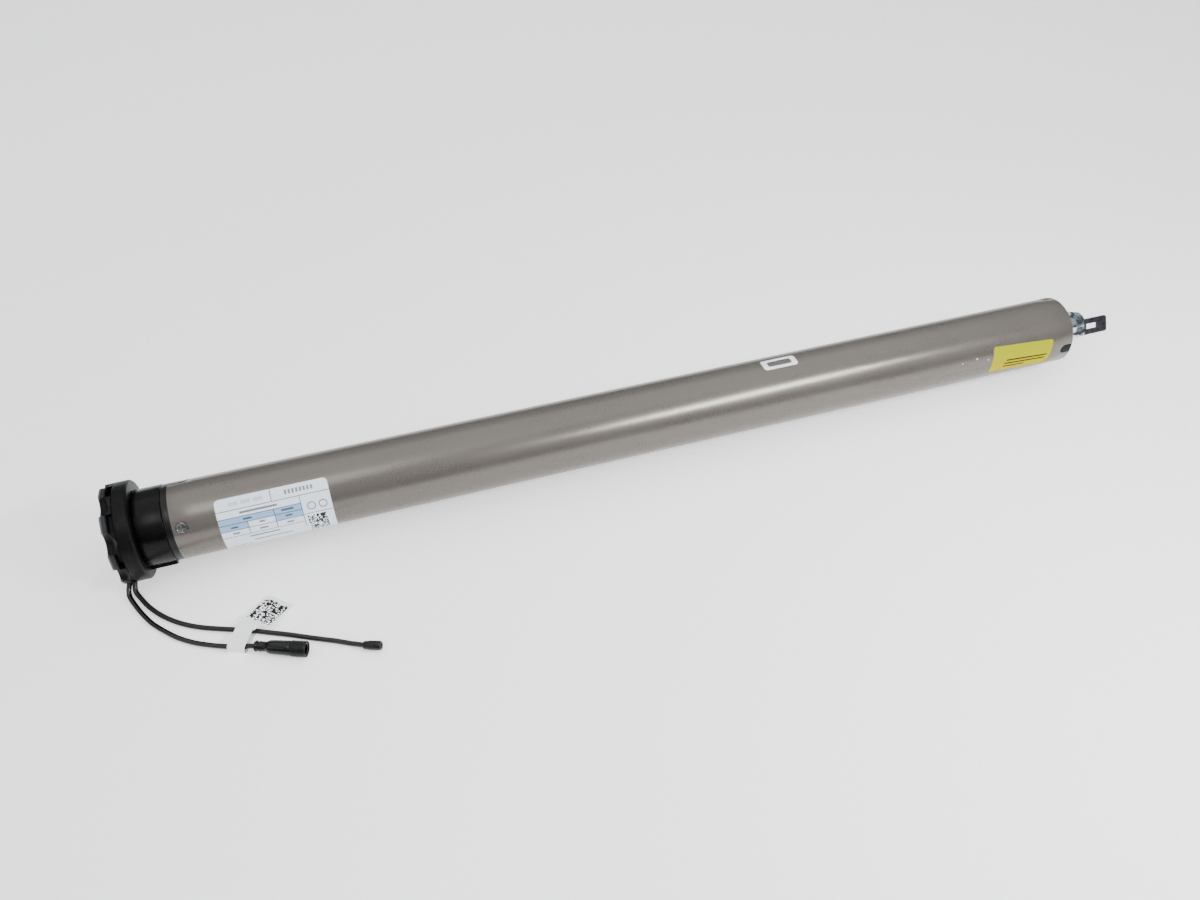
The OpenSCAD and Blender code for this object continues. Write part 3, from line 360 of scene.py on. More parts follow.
class Finish:
    """A material, and the one method that adds any node to it."""

    def __init__(self, name, **constants):
        self.material = bpy.data.materials.new(name)
        self.material.use_nodes = True
        self.tree = self.material.node_tree
        self.shader = self.tree.nodes["Principled BSDF"]
        for socket, value in constants.items():
            self.shader.inputs[socket.replace("_", " ")].default_value = value

    def node(self, kind, settings=None, sockets=None, out=0):
        made = self.tree.nodes.new("ShaderNode" + kind)
        for key, value in (settings or {}).items():
            setattr(made, key, value)
        for key, value in (sockets or {}).items():
            self.feed(made.inputs[key], value)
        return Wire(self, made.outputs[out])

    def feed(self, socket, value):
        if isinstance(value, Wire):
            self.tree.links.new(value.socket, socket)
        else:
            socket.default_value = value

    def give(self, **wires):
        """Feeds the shader's own sockets."""
        for socket, wire in wires.items():
            self.feed(self.shader.inputs[socket.replace("_", " ")], wire)
        return self.material

    def split(self, vector):
        parts = self.node("SeparateXYZ", sockets={0: vector})
        return [Wire(self, parts.socket.node.outputs[i]) for i in range(3)]

    def object_place(self):
        return self.node("TexCoord", out="Object")

    def sheet_place(self, width, height):
        """Place on a flat piece, in millimetres from its lower left corner."""
        u, v, _ = self.split(self.node("TexCoord", out="UV"))
        return u * width, v * height

    def stretched(self, vector, size):
        return self.node("Mapping", sockets={"Vector": vector, "Scale": size})

    def noise(self, vector, scale, detail=3, roughness=0.5):
        return self.node("TexNoise", sockets={
            "Vector": vector, "Scale": scale, "Detail": detail, "Roughness": roughness})

    def ramp(self, value, low, high, to_low=0.0, to_high=1.0):
        """Smooth step from one value to another."""
        return self.node("MapRange", {"interpolation_type": "SMOOTHSTEP"}, {
            "Value": value, "From Min": low, "From Max": high, "To Min": to_low, "To Max": to_high})

    def mix(self, amount, first, second):
        return self.node("Mix", {"data_type": "RGBA"}, {0: amount, 6: first, 7: second}, out=2)

    def bump(self, height, distance, strength=1.0):
        return self.node("Bump", sockets={"Height": height, "Distance": distance, "Strength": strength})

    def round_axis(self):
        """Place along the tube and distance from the axis in millimetres, and the angle in degrees."""
        x, y, z = self.split(self.object_place())
        along = (x - HEAD_X) * 1000
        across = (z - AXIS_Z) * 1000
        out = y * 1000
        reach = (out * out + across * across).root()
        angle = self.node("Math", {"operation": "ARCTAN2"}, {0: across, 1: out * -1}) * math.degrees(1)
        return along, reach, angle


def colour(r, g, b):
    """A colour as the eye reads it, from 0 to 255, as the shader's own numbers."""
    def linear(c):
        c = c / 255
        return c / 12.92 if c < 0.04045 else ((c + 0.055) / 1.055) ** 2.4
    return linear(r), linear(g), linear(b), 1.0


# Finishes

def tube_lacquer():
    """Satin metallic lacquer: fine grain, faint turning marks, soft clouds and a few chips."""
    f = Finish("tube_lacquer", Metallic=0.45)
    place_on = f.object_place()
    x, _, angle = f.round_axis()
    grain = f.noise(place_on, 2600, 2)
    clouds = f.noise(f.stretched(place_on, (1, 3, 3)), 16, 2)
    rings = f.noise(f.stretched(place_on, (1, 0.04, 0.04)), 1500, 2)
    tone = f.ramp(grain * 0.5 + clouds * 0.3 + rings * 0.2, 0.3, 0.7)
    base = f.mix(tone, colour(97, 92, 86), colour(105, 100, 94))
    ragged = f.noise(place_on, 900, 2) * 0.5
    chips = 0.0
    for chip_x, chip_angle, size in CHIPS:
        across = (angle - chip_angle) * (math.pi / 180 * TUBE_R)
        away = ((x - chip_x) ** 2 + across * across).root()
        chips = f.ramp(away + ragged, size + 0.15, size) + chips
    base = f.mix(chips, base, colour(226, 222, 216))
    return f.give(
        Base_Color=base, Roughness=f.ramp(clouds + grain * 0.4, 0.4, 1.0, 0.26, 0.3),
        Normal=f.bump(grain * 0.6 + rings * 0.5 - chips * 2, 0.00002, 0.6))


def moulding(name, dark, light, roughness, grain_depth, sheen, highlight_span=None):
    """Black moulded plastic. The last argument, if given, says from where to where along the tube the
    rims and front edges get painted highlights, lighter grey for the light on them.
    """
    f = Finish(name, Specular_IOR_Level=sheen)
    place_on = f.object_place()
    clouds = f.noise(place_on, 90, 4, 0.6)
    grain = f.noise(place_on, 1800, 2)
    base = f.mix(f.ramp(clouds, 0.35, 0.7), dark, light)
    if highlight_span:
        start, end = highlight_span
        x, reach, _ = f.round_axis()
        rough = f.noise(place_on, 500, 3)
        # Painted highlight: the outer rim between the two places is painted a lighter grey for the light
        # along it.
        rim = f.ramp(reach + rough * 0.5, HEAD_R - 0.4, HEAD_R)
        rim = rim * f.ramp(x + rough * 0.4, start, start + 0.3) * f.ramp(x + rough * 0.4, end, end - 0.3)
        base = f.mix(rim * 0.7, base, colour(48, 49, 51))
        # Painted highlight: a lighter band along the outer front edge, for the light that catches it.
        edge = f.ramp(x + rough * 0.4, start + 1.0, start + 0.5)
        edge = edge * f.ramp(reach + rough * 0.6, HEAD_R - 1.3, HEAD_R - 0.5)
        base = f.mix(edge, base, colour(84, 86, 89))
    scratches = f.ramp(f.noise(f.stretched(place_on, (1, 0.12, 0.12)), 1300, 2), 0.66, 0.74)
    base = f.mix(scratches * 0.2, base, colour(60, 60, 62))
    return f.give(
        Base_Color=base,
        Roughness=f.ramp(clouds + grain * 0.3, 0.3, 0.95, roughness - 0.05, roughness + 0.07),
        Normal=f.bump(grain, grain_depth))


def matte_black():
    return moulding("matte_black", colour(5, 5, 6), colour(11, 11, 12), 0.4, 0.00003, sheen=0.12)


def star_black():
    return moulding(
        "star_black", colour(6, 6, 7), colour(13, 13, 14), 0.42, 0.00004, sheen=0.14, highlight_span=LOBES_X)


def gloss_black():
    return moulding("gloss_black", colour(2, 2, 2), colour(4, 4, 4), 0.26, 0.000002, sheen=0.14)


def collar_black():
    return moulding("collar_black", colour(7, 7, 8), colour(12, 12, 13), 0.32, 0.00001, sheen=0.25)


def metal(name, dark, light, roughness, streak, depth):
    """Bare or plated metal, with fine drawn streaks and slight clouding."""
    f = Finish(name, Metallic=1.0)
    place_on = f.object_place()
    clouds = f.noise(place_on, 260, 3)
    lines = f.noise(f.stretched(place_on, streak), 1900, 2)
    base = f.mix(f.ramp(clouds * 0.6 + lines * 0.4, 0.3, 0.7), dark, light)
    return f.give(
        Base_Color=base,
        Roughness=f.ramp(lines + clouds * 0.5, 0.4, 1.1, roughness - 0.05, roughness + 0.08),
        Normal=f.bump(lines, depth))


def zinc():
    return metal("zinc_plate", colour(158, 172, 178), colour(196, 208, 213), 0.15, (0.15, 1, 1), 0.000002)


def screw_steel():
    return metal("screw_steel", colour(96, 98, 98), colour(140, 142, 142), 0.22, (1, 1, 1), 0.000004)


def dark_plate():
    """Dark plated sheet with a painted highlight along its bend: a bright band that stands for the light
    off the bent metal.
    """
    f = Finish("dark_plate", Metallic=1.0)
    place_on = f.object_place()
    x, _, _ = f.round_axis()
    clouds = f.noise(place_on, 260, 3)
    lines = f.noise(f.stretched(place_on, (0.1, 1, 1)), 1500, 2)
    base = f.mix(f.ramp(clouds * 0.6 + lines * 0.4, 0.3, 0.7), colour(58, 57, 62), colour(86, 85, 92))
    # Painted highlight: a bright band across the clip's bend.
    bend = f.ramp(abs(x - CLIP_BEND_X) + clouds * 0.6, 1.3, 0.8)
    base = f.mix(bend * 0.8, base, colour(190, 202, 206))
    return f.give(
        Base_Color=base, Roughness=f.ramp(lines + clouds * 0.5, 0.4, 1.1, 0.36, 0.46),
        Normal=f.bump(lines, 0.000006))


def sheath(name, dark, light, roughness, sheen):
    """Smooth black jacket of a lead."""
    f = Finish(name, Specular_IOR_Level=sheen)
    place_on = f.object_place()
    clouds = f.noise(place_on, 150, 3)
    return f.give(
        Base_Color=f.mix(f.ramp(clouds, 0.35, 0.65), dark, light),
        Roughness=f.ramp(clouds, 0.3, 0.7, roughness - 0.04, roughness + 0.05),
        Normal=f.bump(f.noise(place_on, 900, 2), 0.000006))


def soft_plastic(name, dark, light, roughness=0.42):
    f = Finish(name, Specular_IOR_Level=0.3)
    place_on = f.object_place()
    clouds = f.noise(place_on, 240, 3)
    return f.give(
        Base_Color=f.mix(f.ramp(clouds, 0.35, 0.65), dark, light),
        Roughness=f.ramp(clouds, 0.3, 0.7, roughness - 0.06, roughness + 0.06),
        Normal=f.bump(f.noise(place_on, 1600, 2), 0.000004))


def between(value, low, high):
    return (value > low) * (value < high)


def ruled(u, v, rules, width):
    """Thin lines on a label. Each rule is across or down, its place, and where it starts and ends."""
    ink = 0.0
    for way, at, start, end in rules:
        across, along = (v, u) if way == "across" else (u, v)
        ink = (abs(across - at) < width / 2) * between(along, start, end) + ink
    return ink


def bars(u, v, places, height):
    """Short plain bars in the cells of a table. Each place is its middle, its height and its length."""
    ink = 0.0
    for at_u, at_v, length in places:
        ink = (abs(u - at_u) < length / 2) * (abs(v - at_v) < height / 2) + ink
    return ink


def cells(f, u, v, corner, size, count, seed):
    """A field of random dark and light cells, which stands for nothing."""
    column = math.floor((u - corner[0]) / (size[0] / count[0]))
    row = math.floor((v - corner[1]) / (size[1] / count[1]))
    spot = f.node("CombineXYZ", sockets={0: column, 1: row, 2: seed})
    dark = f.node("TexWhiteNoise", {"noise_dimensions": "3D"}, {"Vector": spot}) > 0.42
    return dark * between(u, corner[0], corner[0] + size[0]) * between(v, corner[1], corner[1] + size[1])


def paper(name, base, sheen=0.35):
    f = Finish(name, Specular_IOR_Level=sheen)
    fibre = f.noise(f.object_place(), 1400, 3)
    return f, f.mix(f.ramp(fibre, 0.3, 0.7), base, tuple(min(1.0, c * 1.05) for c in base)), fibre


def printed(f, base, fibre, roughness=0.42, depth=0.000004):
    return f.give(
        Base_Color=base, Roughness=f.ramp(fibre, 0.3, 0.7, roughness - 0.05, roughness + 0.05),
        Normal=f.bump(fibre, depth))


def rating_print():
    """White film with a pale blue table, ruled in fine lines, with plain bars in its cells."""
    f, base, fibre = paper("rating_print", colour(233, 243, 255))
    u, v = f.sheet_place(RATING_LEN, RATING_HEIGHT)
    down = RATING_HEIGHT - v
    # The table's columns, from the left edge, and its rules, from the upper edge.
    first, second, table = 15.6, 31.0, 46.4
    top, head, upper, middle, lower = 7.3, 11.8, 15.6, 19.7, 24.3
    blue = between(down, head, upper) * between(u, 0, table)
    blue = blue + between(down, upper, middle) * between(u, 0, first)
    blue = blue + between(down, upper, middle) * between(u, second, table)
    base = f.mix(blue, base, colour(148, 184, 222))
    rules = [("across", row, 0, table) for row in (head, upper, middle, lower)]
    rules += [
        ("across", top, 0, RATING_LEN), ("across", 19.2, table, RATING_LEN), ("down", second, 0, top),
        ("down", first, upper, lower), ("down", second, head, lower), ("down", table, top, 29.5),
    ]
    ink = ruled(u, down, rules, 0.42) * 0.9
    words = [
        (23, 9.6, 21), (16, 13.7, 5), (38.5, 13.5, 7), (8, 17.8, 4), (23.5, 17.4, 3), (38.5, 17.4, 4),
        (8, 22, 4), (23.5, 22, 4.5), (38.5, 22, 4), (23, 26.8, 17), (27, 31.4, 22), (9, 35.6, 11),
    ]
    ink = ink + bars(u, down, words, 1.2) * 0.8
    ink = ink + bars(u, down, [(39.4 + 2.1 * k, 3.6, 1.3) for k in range(8)], 2.6) * 0.75
    ink = ink + bars(u, down, [(10 + 7 * k, 3.9, 5.4) for k in range(3)], 2.2) * 0.3
    ink = ink + cells(f, u, down, (48.4, 20.7), (10.7, 15.8), (15, 19), 5.0)
    for ring_u, ring_v, ring_r in ((52, 14.6, 2.2), (58.6, 14.6, 2.2)):
        away = ((u - ring_u) ** 2 + (down - ring_v) ** 2).root()
        ink = ink + (abs(away - ring_r) < 0.3) * 0.85
    base = f.mix(ink, base, colour(4, 5, 8))
    return printed(f, base, fibre)


def yellow_print():
    """Plain yellow film with three faint ruled lines."""
    f, base, fibre = paper("yellow_print", colour(154, 159, 0), 0.1)
    u, v = f.sheet_place(YELLOW_LEN, YELLOW_HEIGHT)
    down = YELLOW_HEIGHT - v
    base = f.mix(f.ramp(down, 0, YELLOW_HEIGHT), base, colour(180, 163, 0))
    ink = bars(u, down, [(28, 11, 33), (27, 13.6, 33), (19, 16.2, 17)], 1.2)
    base = f.mix(ink, base, colour(30, 31, 4))
    return printed(f, base, fibre, 0.6)


def white_film():
    f, base, fibre = paper("white_film", colour(240, 243, 247))
    return printed(f, base, fibre)


def tag_print():
    """White paper with a made-up field of dark cells on the flag."""
    f, base, fibre = paper("tag_print", colour(252, 252, 255))
    u, v = f.sheet_place(FLAG_LEN, FLAG_W)
    ink = cells(f, u, v, (0.5, 1.2), (17.0, 15.6), (21, 19), 4.0)
    base = f.mix(ink, base, colour(3, 3, 4))
    return printed(f, base, fibre, 0.65, 0.00001)


def plain(name, dark, light, roughness, metallic):
    """Finish of a piece inside the tube: two tones in fine clouds."""
    f = Finish(name, Metallic=metallic)
    clouds = f.noise(f.object_place(), 300, 3)
    return f.give(
        Base_Color=f.mix(f.ramp(clouds, 0.35, 0.65), dark, light),
        Roughness=f.ramp(clouds, 0.3, 0.7, roughness - 0.06, roughness + 0.06))


INNER_FINISHES = {
    "matte_black": (colour(34, 34, 36), colour(48, 48, 50), 0.5, 0.0),
    "zinc_steel": (colour(160, 168, 174), colour(205, 212, 216), 0.3, 1.0),
    "dark_steel": (colour(92, 92, 96), colour(120, 120, 124), 0.4, 1.0),
    "light_alloy": (colour(178, 180, 184), colour(208, 210, 214), 0.38, 1.0),
    "acetal_white": (colour(226, 224, 214), colour(238, 236, 228), 0.4, 0.0),
    "ferrite": (colour(52, 52, 55), colour(70, 70, 73), 0.6, 0.0),
    "circuit_board": (colour(28, 92, 58), colour(36, 108, 70), 0.35, 0.0),
    "blue_sleeve": (colour(38, 72, 128), colour(48, 86, 146), 0.35, 0.0),
    "foam": (colour(58, 58, 60), colour(84, 84, 86), 0.9, 0.0),
    "copper": (colour(176, 104, 62), colour(206, 130, 82), 0.3, 1.0),
    "bronze": (colour(168, 132, 74), colour(196, 160, 98), 0.35, 1.0),
}


def dress(piece, material):
    piece.data.materials.clear()
    piece.data.materials.append(material)
    return piece


def dress_inner_nodes():
    """Finishes for the CAD nodes that show as they are."""
    finishes = {slot: plain("inner_" + slot, *values) for slot, values in INNER_FINISHES.items()}
    for part in frame["record"]["subparts"]:
        node = frame["nodes"][part["node"]]
        if part["material_slot"] in finishes and not node.hide_render:
            dress(node, finishes[part["material_slot"]])


def stand_for(piece, body, node):
    """Fixes a finished piece to its body and lets it stand for a CAD node."""
    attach(piece, body)
    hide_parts(node)


# Leads

def curve_points(route, steps=8):
    """Smooth points through a route, a few between each two of its own."""
    path = [ON_TABLE + Vector(p) * MM for p in route]
    path = [path[0] * 2 - path[1]] + path + [path[-1] * 2 - path[-2]]
    points = []
    for before, start, end, after in zip(path, path[1:], path[2:], path[3:]):
        for k in range(steps):
            t = k / steps
            points.append(0.5 * (
                2 * start + (end - before) * t + (2 * before - 5 * start + 4 * end - after) * t ** 2
                + (3 * start - before - 3 * end + after) * t ** 3))
    return points + [path[-2]]


def make_lead(name, route, finish):
    points = curve_points(route)
    data = bpy.data.curves.new(name, "CURVE")
    data.dimensions = "3D"
    data.bevel_depth = LEAD_D / 2 * MM
    data.bevel_resolution = 6
    data.use_fill_caps = True
    line = data.splines.new("POLY")
    line.points.add(len(points) - 1)
    for spot, at in zip(line.points, points):
        spot.co = (*at, 1)
    line.use_smooth = True
    lead = bpy.data.objects.new(name, data)
    bpy.context.scene.collection.objects.link(lead)
    data.materials.append(finish)
    return lead, points[0]


def make_socket():
    """Moulded body of the power socket, with its two ribs, neck and open mouth."""
    body = turned("socket_body", [
        (4, 1.62), (0.1, 1.62), (0, 2.3), (0.25, 2.8), (0.7, 3.12), (1.2, 3.18), (1.65, 3), (1.9, 2.72),
        (2.95, 2.7), (3.05, 2.9), (3.2, 3.05), (3.45, 3.05), (3.65, 2.9), (3.9, 2.83), (6.7, 2.83),
        (7, 2.95), (7.6, 3.35), (8.4, 3.68), (9.3, 3.86), (10.5, 3.95), (13, 4.05), (17, 4.18),
        (20.4, 4.27), (20.65, 4.2), (20.8, 4.05), (20.8, 3.9), (28.6, 3.9), (28.9, 3.7), (28.9, 3.05),
        (28.75, 2.86), (28.5, 2.8), (20.1, 2.8), (19.9, 2.6), (19.9, 0.05), (4.1, 0.05), (4, 1.62),
    ], sides=64)
    return place(body, ON_TABLE + Vector(SOCKET_AT) * MM, (0, 0, SOCKET_TURN))


def make_socket_ring():
    """Grooved ring on the socket's mouth."""
    stations = [(20.86, 3.95), (20.86, 4.3), (21.0, 4.48), (21.3, 4.54)]
    for k in range(7):
        x = 21.7 + 1.02 * k
        stations += [(x, 4.54), (x + 0.12, 4.28), (x + 0.4, 4.28), (x + 0.52, 4.54)]
    stations += [(28.9, 4.54), (29.3, 4.42), (29.5, 4.2), (29.5, 4.06), (29.3, 3.95), (20.86, 3.95)]
    ring = turned("socket_ring_grooved", stations, sides=64)
    return place(ring, ON_TABLE + Vector(SOCKET_AT) * MM, (0, 0, SOCKET_TURN))


def make_aerial_cap():
    """Moulded cap on the aerial's end, flared where the lead enters."""
    cap = turned("aerial_cap_moulded", [
        (4, 1.62), (0.1, 1.62), (0, 1.85), (0.25, 2.1), (0.8, 2.3), (1.8, 2.42), (2.6, 2.5), (3.2, 2.62),
        (4.2, 2.68), (9.2, 2.69), (10, 2.6), (10.4, 2.4), (10.5, 2.1), (10.4, 1.75), (10.1, 1.5),
        (9.6, 1.33), (9.5, 1.2), (9.5, 0.1), (4.1, 0.1), (4, 1.62),
    ], sides=48)
    return place(cap, ON_TABLE + Vector(AERIAL_CAP_AT) * MM, (0, -AERIAL_CAP_TILT, AERIAL_CAP_TURN))


def make_leads():
    socket_finish = soft_plastic("socket_rubber", colour(3, 3, 3), colour(6, 6, 6), 0.22)
    ring_finish = soft_plastic("ring_plastic", colour(4, 4, 4), colour(8, 8, 8), 0.34)
    cap_finish = soft_plastic("cap_rubber", colour(10, 10, 11), colour(18, 18, 19), 0.3)
    glossy = sheath("glossy_sheath", colour(4, 4, 4), colour(7, 7, 7), 0.16, 0.45)
    matte = sheath("matte_sheath", colour(15, 15, 16), colour(22, 22, 23), 0.36, 0.4)
    socket = dress(smooth(make_socket(), 40), socket_finish)
    ring = dress(smooth(make_socket_ring(), 25), ring_finish)
    cap = dress(smooth(make_aerial_cap(), 40), cap_finish)
    stand_for(socket, "housing", "lead_socket")
    stand_for(ring, "housing", "socket_ring")
    stand_for(cap, "housing", "aerial_cap")
    power, power_exit = make_lead("power_lead_sheath", POWER_ROUTE, glossy)
    aerial, aerial_exit = make_lead("aerial_lead_sheath", AERIAL_ROUTE, matte)
    stand_for(power, "housing", "power_lead")
    stand_for(aerial, "housing", "aerial_lead")
    make_tag()


# Tube and stickers

def make_tube():
    """Tube with its slots and screw holes. Rings of faces near its ends keep the cuts' faces short."""
    rings = [0, 14, 45, TUBE_LEN / 2, TUBE_LEN - 45, TUBE_LEN - 14, TUBE_LEN]
    outer = [(x, TUBE_R) for x in rings]
    inner = [(x, TUBE_BORE_R) for x in reversed(rings)]
    tube = turned("tube", outer + inner + outer[:1], sides=256)
    drive_slot_x = TUBE_LEN - DRIVE_SLOT_LEN + SLOT_W / 2
    for angle in spread(DRIVE_SLOT_ANGLE, DRIVE_SLOTS):
        cut(tube, wall_cutter(drive_slot_x, angle, SLOT_W, stretch=8))
    for angle in spread(HEAD_SLOT_ANGLE, HEAD_SLOTS):
        cut(tube, wall_cutter(HEAD_SLOT_LEN - SLOT_W / 2, angle, SLOT_W, stretch=-12))
    for angle in spread(PLUG_SCREW_ANGLE, PLUG_SCREWS):
        cut(tube, wall_cutter(PLUG_SCREW_X, angle, 2 * (PLUG_SCREW_R + PLUG_SCREW_GAP)))
    round_edges(tube, 0.18, 2, 50)
    place(tube, ON_AXIS)
    return dress(smooth(tube, 30), tube_lacquer())


def make_sticker(name, middle_x, angle, length, height, corner, turn=0, window=None):
    """Film with round corners, cut flat, then bent round the tube."""
    pick_nothing()
    bpy.ops.mesh.primitive_plane_add(size=1, rotation=(math.pi / 2, 0, 0))
    piece = bpy.context.object
    piece.scale = (length * MM, height * MM, 1)
    named(name)
    edit(piece)
    bpy.ops.mesh.select_all(action="SELECT")
    bpy.ops.mesh.bevel(offset=corner * MM, segments=6, affect="VERTICES")
    strips = 44
    for k in range(1, strips):
        bpy.ops.mesh.select_all(action="SELECT")
        at = (0, 0, (k / strips - 0.5) * height * MM)
        bpy.ops.mesh.bisect(plane_co=at, plane_no=(0, 0, 1))
    leave()
    layer = piece.data.uv_layers.active or piece.data.uv_layers.new()
    for loop in piece.data.loops:
        at = piece.data.vertices[loop.vertex_index].co
        layer.data[loop.index].uv = (at.x / MM / length + 0.5, at.z / MM / height + 0.5)
    add = piece.modifiers.new("thickness", "SOLIDIFY")
    add.thickness = FILM_THICK * MM
    add.offset = 1
    bpy.ops.object.modifier_apply(modifier=add.name)
    if window:
        wide, high = window
        pick_nothing()
        bpy.ops.mesh.primitive_cube_add(size=1)
        tool = bpy.context.object
        tool.scale = (wide * MM, 4 * MM, high * MM)
        named("tool")
        cut(piece, round_edges(tool, corner * 0.7, 4))
    place(piece, turn=(0, turn, 0))
    heights = [v.co.z for v in piece.data.vertices]
    tall = max(heights) - min(heights)
    pick(piece)
    bend = piece.modifiers.new("bend", "SIMPLE_DEFORM")
    bend.deform_method = "BEND"
    bend.deform_axis = "X"
    seat = TUBE_R + FILM_LIFT
    bend.angle = tall / (seat * MM)
    bpy.ops.object.modifier_apply(modifier=bend.name)
    place(piece, (middle_x * MM, -seat * MM, 0))
    place(piece, ON_AXIS, (-angle, 0, 0))
    return smooth(piece, 40)


def make_stickers():
    rating = make_sticker(
        "rating_sticker", RATING_START + RATING_LEN / 2, RATING_ANGLE, RATING_LEN, RATING_HEIGHT, 2.6)
    stand_for(dress(rating, rating_print()), "housing", "rating_label")
    yellow = make_sticker(
        "yellow_sticker", YELLOW_MIDDLE, YELLOW_ANGLE, YELLOW_LEN, YELLOW_HEIGHT, 1.6, turn=YELLOW_TURN)
    stand_for(dress(yellow, yellow_print()), "housing", "yellow_label")
    small = make_sticker(
        "small_sticker", SMALL_MIDDLE, SMALL_ANGLE, SMALL_LEN, SMALL_HEIGHT, 2, window=SMALL_WINDOW)
    stand_for(dress(small, white_film()), "housing", "small_label")


# Head

def make_screw_head(name, angle):
    """Flat head with a rounded rim, a dished face and a cross recess, flush with the tube."""
    pick_nothing()
    bpy.ops.mesh.primitive_cylinder_add(
        vertices=64, radius=PLUG_SCREW_R * MM, depth=PLUG_SCREW_HEIGHT * MM,
        location=(0, -(TUBE_R - PLUG_SCREW_HEIGHT / 2) * MM, 0), rotation=(math.pi / 2, 0, 0))
    head = named(name)
    edit(head)
    bpy.ops.mesh.select_mode(type="FACE")
    bpy.ops.mesh.select_all(action="DESELECT")
    mesh = bmesh.from_edit_mesh(head.data)
    for face in mesh.faces:
        face.select_set(face.normal.y < -0.9)
    bmesh.update_edit_mesh(head.data)
    bpy.ops.mesh.inset(thickness=0.5 * MM, depth=0)
    bpy.ops.mesh.inset(thickness=0.45 * MM, depth=-0.12 * MM)
    bpy.ops.mesh.inset(thickness=0.2 * MM, depth=-0.35 * MM)
    bpy.ops.mesh.select_mode(type="VERT")
    leave()
    arm_len, arm_depth, arm_w = 3.6, 1.05, 1.1
    for turn in (20, 110):
        pick_nothing()
        bpy.ops.mesh.primitive_cube_add(size=1, location=(0, -TUBE_R * MM, 0))
        tool = bpy.context.object
        tool.scale = (arm_len * MM, 2 * arm_depth * MM, arm_w * MM)
        named("tool")
        cut(head, place(tool, turn=(0, turn, 0)))
    round_edges(head, 0.12, 2, 35)
    place(head, (PLUG_SCREW_X * MM, 0, 0))
    return place(head, ON_AXIS, (-angle, 0, 0))


def make_plug_screws():
    angles = spread(PLUG_SCREW_ANGLE, PLUG_SCREWS)
    heads = [make_screw_head(f"plug_screw_{k}", angle) for k, angle in enumerate(angles)]
    screws = dress(smooth(join("plug_screw_heads", heads), 30), screw_steel())
    stand_for(screws, "housing", "plug_screws")


def make_head():
    matte = matte_black()
    flange = refined("head_flange", "flange_drum", 0.5, 3, beyond=20)
    stand_for(dress(flange, matte), "housing", "head_flange")
    star = refined("star_plate", "star_lobes", 0.35, 2, beyond=23)
    stand_for(dress(star, star_black()), "housing", "star_plate")
    crown = refined("crown", "crown_ring", 0.45, 3, beyond=21)
    stand_for(dress(crown, gloss_black()), "crown", "crown")
    collar = refined("tube_plug", "collar", 0.35, 3, beyond=20)
    stand_for(dress(collar, collar_black()), "housing", "tube_plug")
    grommet = refined("cable_grommet", "grommet", 0.3, 2)
    stand_for(dress(grommet, soft_plastic("grommet_rubber", colour(7, 7, 8), colour(13, 13, 14))),
              "housing", "cable_grommet")
    screws = refined("star_plate_screws", "star_screws", 0.15, 2)
    stand_for(dress(screws, zinc()), "housing", "star_plate_screws")


# Drive end

def make_drive_end():
    bright = zinc()
    cap = refined("end_cap", "end_plug", 0.3, 2)
    stand_for(dress(cap, matte_black()), "housing", "end_cap")
    shaft = refined("output_shaft", "drive_shaft", 0.4, 3)
    stand_for(dress(shaft, bright), "output", "output_shaft")
    dog = refined("drive_dog", "drive_block", 0.35, 3)
    stand_for(dress(dog, bright), "output", "drive_dog")
    clip = refined("drive_clip", "flat_clip", 0.25, 3)
    stand_for(dress(clip, dark_plate()), "output", "drive_clip")


# Paper tag round the leads

def make_tag():
    tag = refined("lead_tag", "paper_tag", 0.02, 1)
    layer = tag.data.uv_layers.active or tag.data.uv_layers.new()
    start = ON_TABLE + FLAG_AT * MM
    way = Vector((math.cos(math.radians(FLAG_TURN)), math.sin(math.radians(FLAG_TURN)), 0))
    side = Vector((-way.y, way.x, 0))
    for loop in tag.data.loops:
        at = tag.data.vertices[loop.vertex_index].co - start
        layer.data[loop.index].uv = (at.dot(way) / MM / FLAG_LEN, at.dot(side) / MM / FLAG_W + 0.5)
    stand_for(dress(tag, tag_print()), "housing", "lead_tag")
    return tag


# Floor and light

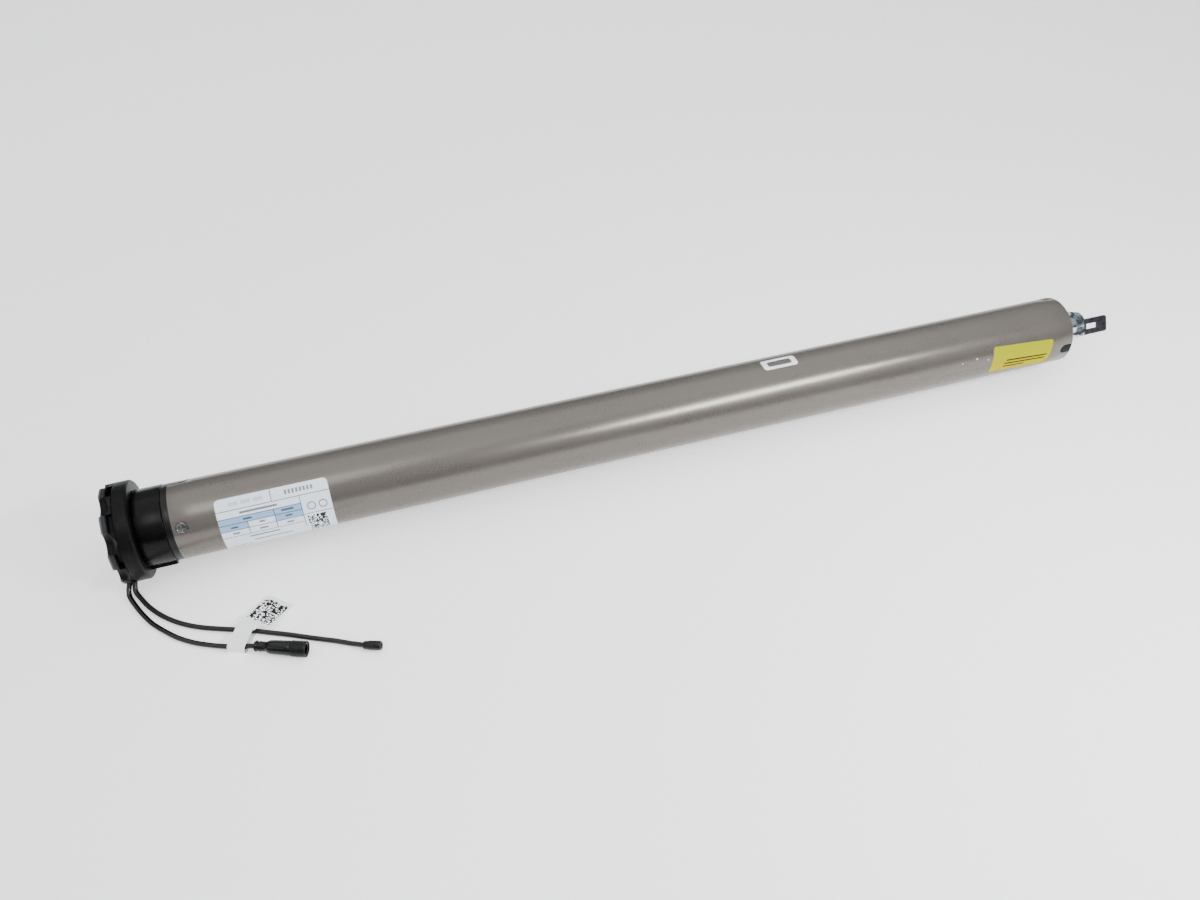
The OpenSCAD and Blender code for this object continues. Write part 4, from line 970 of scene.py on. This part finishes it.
def make_floor():
    """White table top, a tenth of a millimetre below the object, with a little light of its own."""
    pick_nothing()
    bpy.ops.mesh.primitive_plane_add(size=1, location=FLOOR_MIDDLE)
    floor = bpy.context.object
    floor.scale = FLOOR_SIZE
    named("floor")
    f = Finish("floor_white", Roughness=0.9, Specular_IOR_Level=0.1, Emission_Strength=0.76)
    shade = f.noise(f.object_place(), 2)
    white = f.mix(shade, colour(243, 243, 243), colour(246, 246, 246))
    dress(floor, f.give(Base_Color=white, Emission_Color=white))


def softbox(name, at, towards, width, height, power):
    data = bpy.data.lights.new(name, "AREA")
    data.shape = "RECTANGLE"
    data.size = width
    data.size_y = height
    data.energy = power
    light = bpy.data.objects.new(name, data)
    bpy.context.scene.collection.objects.link(light)
    light.location = at
    light.rotation_euler = (Vector(towards) - Vector(at)).to_track_quat("-Z", "Y").to_euler()


def make_light():
    """A slim box in front, three wide ones from above and the left, and a sky that is dark at its rim."""
    softbox(
        "front_box", at=(0.281, -0.43, 0.49), towards=(0.05, 0, 0.03), width=0.34, height=0.035, power=5)
    softbox("top_box", at=(0, 0.4, 1.6), towards=(0, 0, 0), width=2.6, height=2, power=18)
    softbox("left_box", at=(-1.5, -0.5, 0.9), towards=(0, 0, 0), width=1, height=0.8, power=3)
    softbox("over_box", at=(-0.44, -0.6, 1.35), towards=(-0.25, 0, 0.03), width=0.5, height=0.6, power=5)
    world = bpy.data.worlds.new("studio")
    bpy.context.scene.world = world
    world.use_nodes = True
    tree = world.node_tree
    way = tree.nodes.new("ShaderNodeTexCoord")
    parts = tree.nodes.new("ShaderNodeSeparateXYZ")
    rise = tree.nodes.new("ShaderNodeMapRange")
    tree.links.new(way.outputs["Generated"], parts.inputs[0])
    tree.links.new(parts.outputs["Z"], rise.inputs["Value"])
    tree.links.new(rise.outputs["Result"], tree.nodes["Background"].inputs["Strength"])
    rise.interpolation_type = "SMOOTHSTEP"
    for socket, value in (("From Min", 0.03), ("From Max", 0.55), ("To Min", 0.04), ("To Max", 0.72)):
        rise.inputs[socket].default_value = value
    tree.nodes["Background"].inputs["Color"].default_value = (0.93, 0.96, 1.0, 1)


make_camera()
make_leads()
stand_for(make_tube(), "housing", "motor_tube")
make_stickers()
make_head()
make_plug_screws()
make_drive_end()
dress_inner_nodes()
make_floor()
make_light()
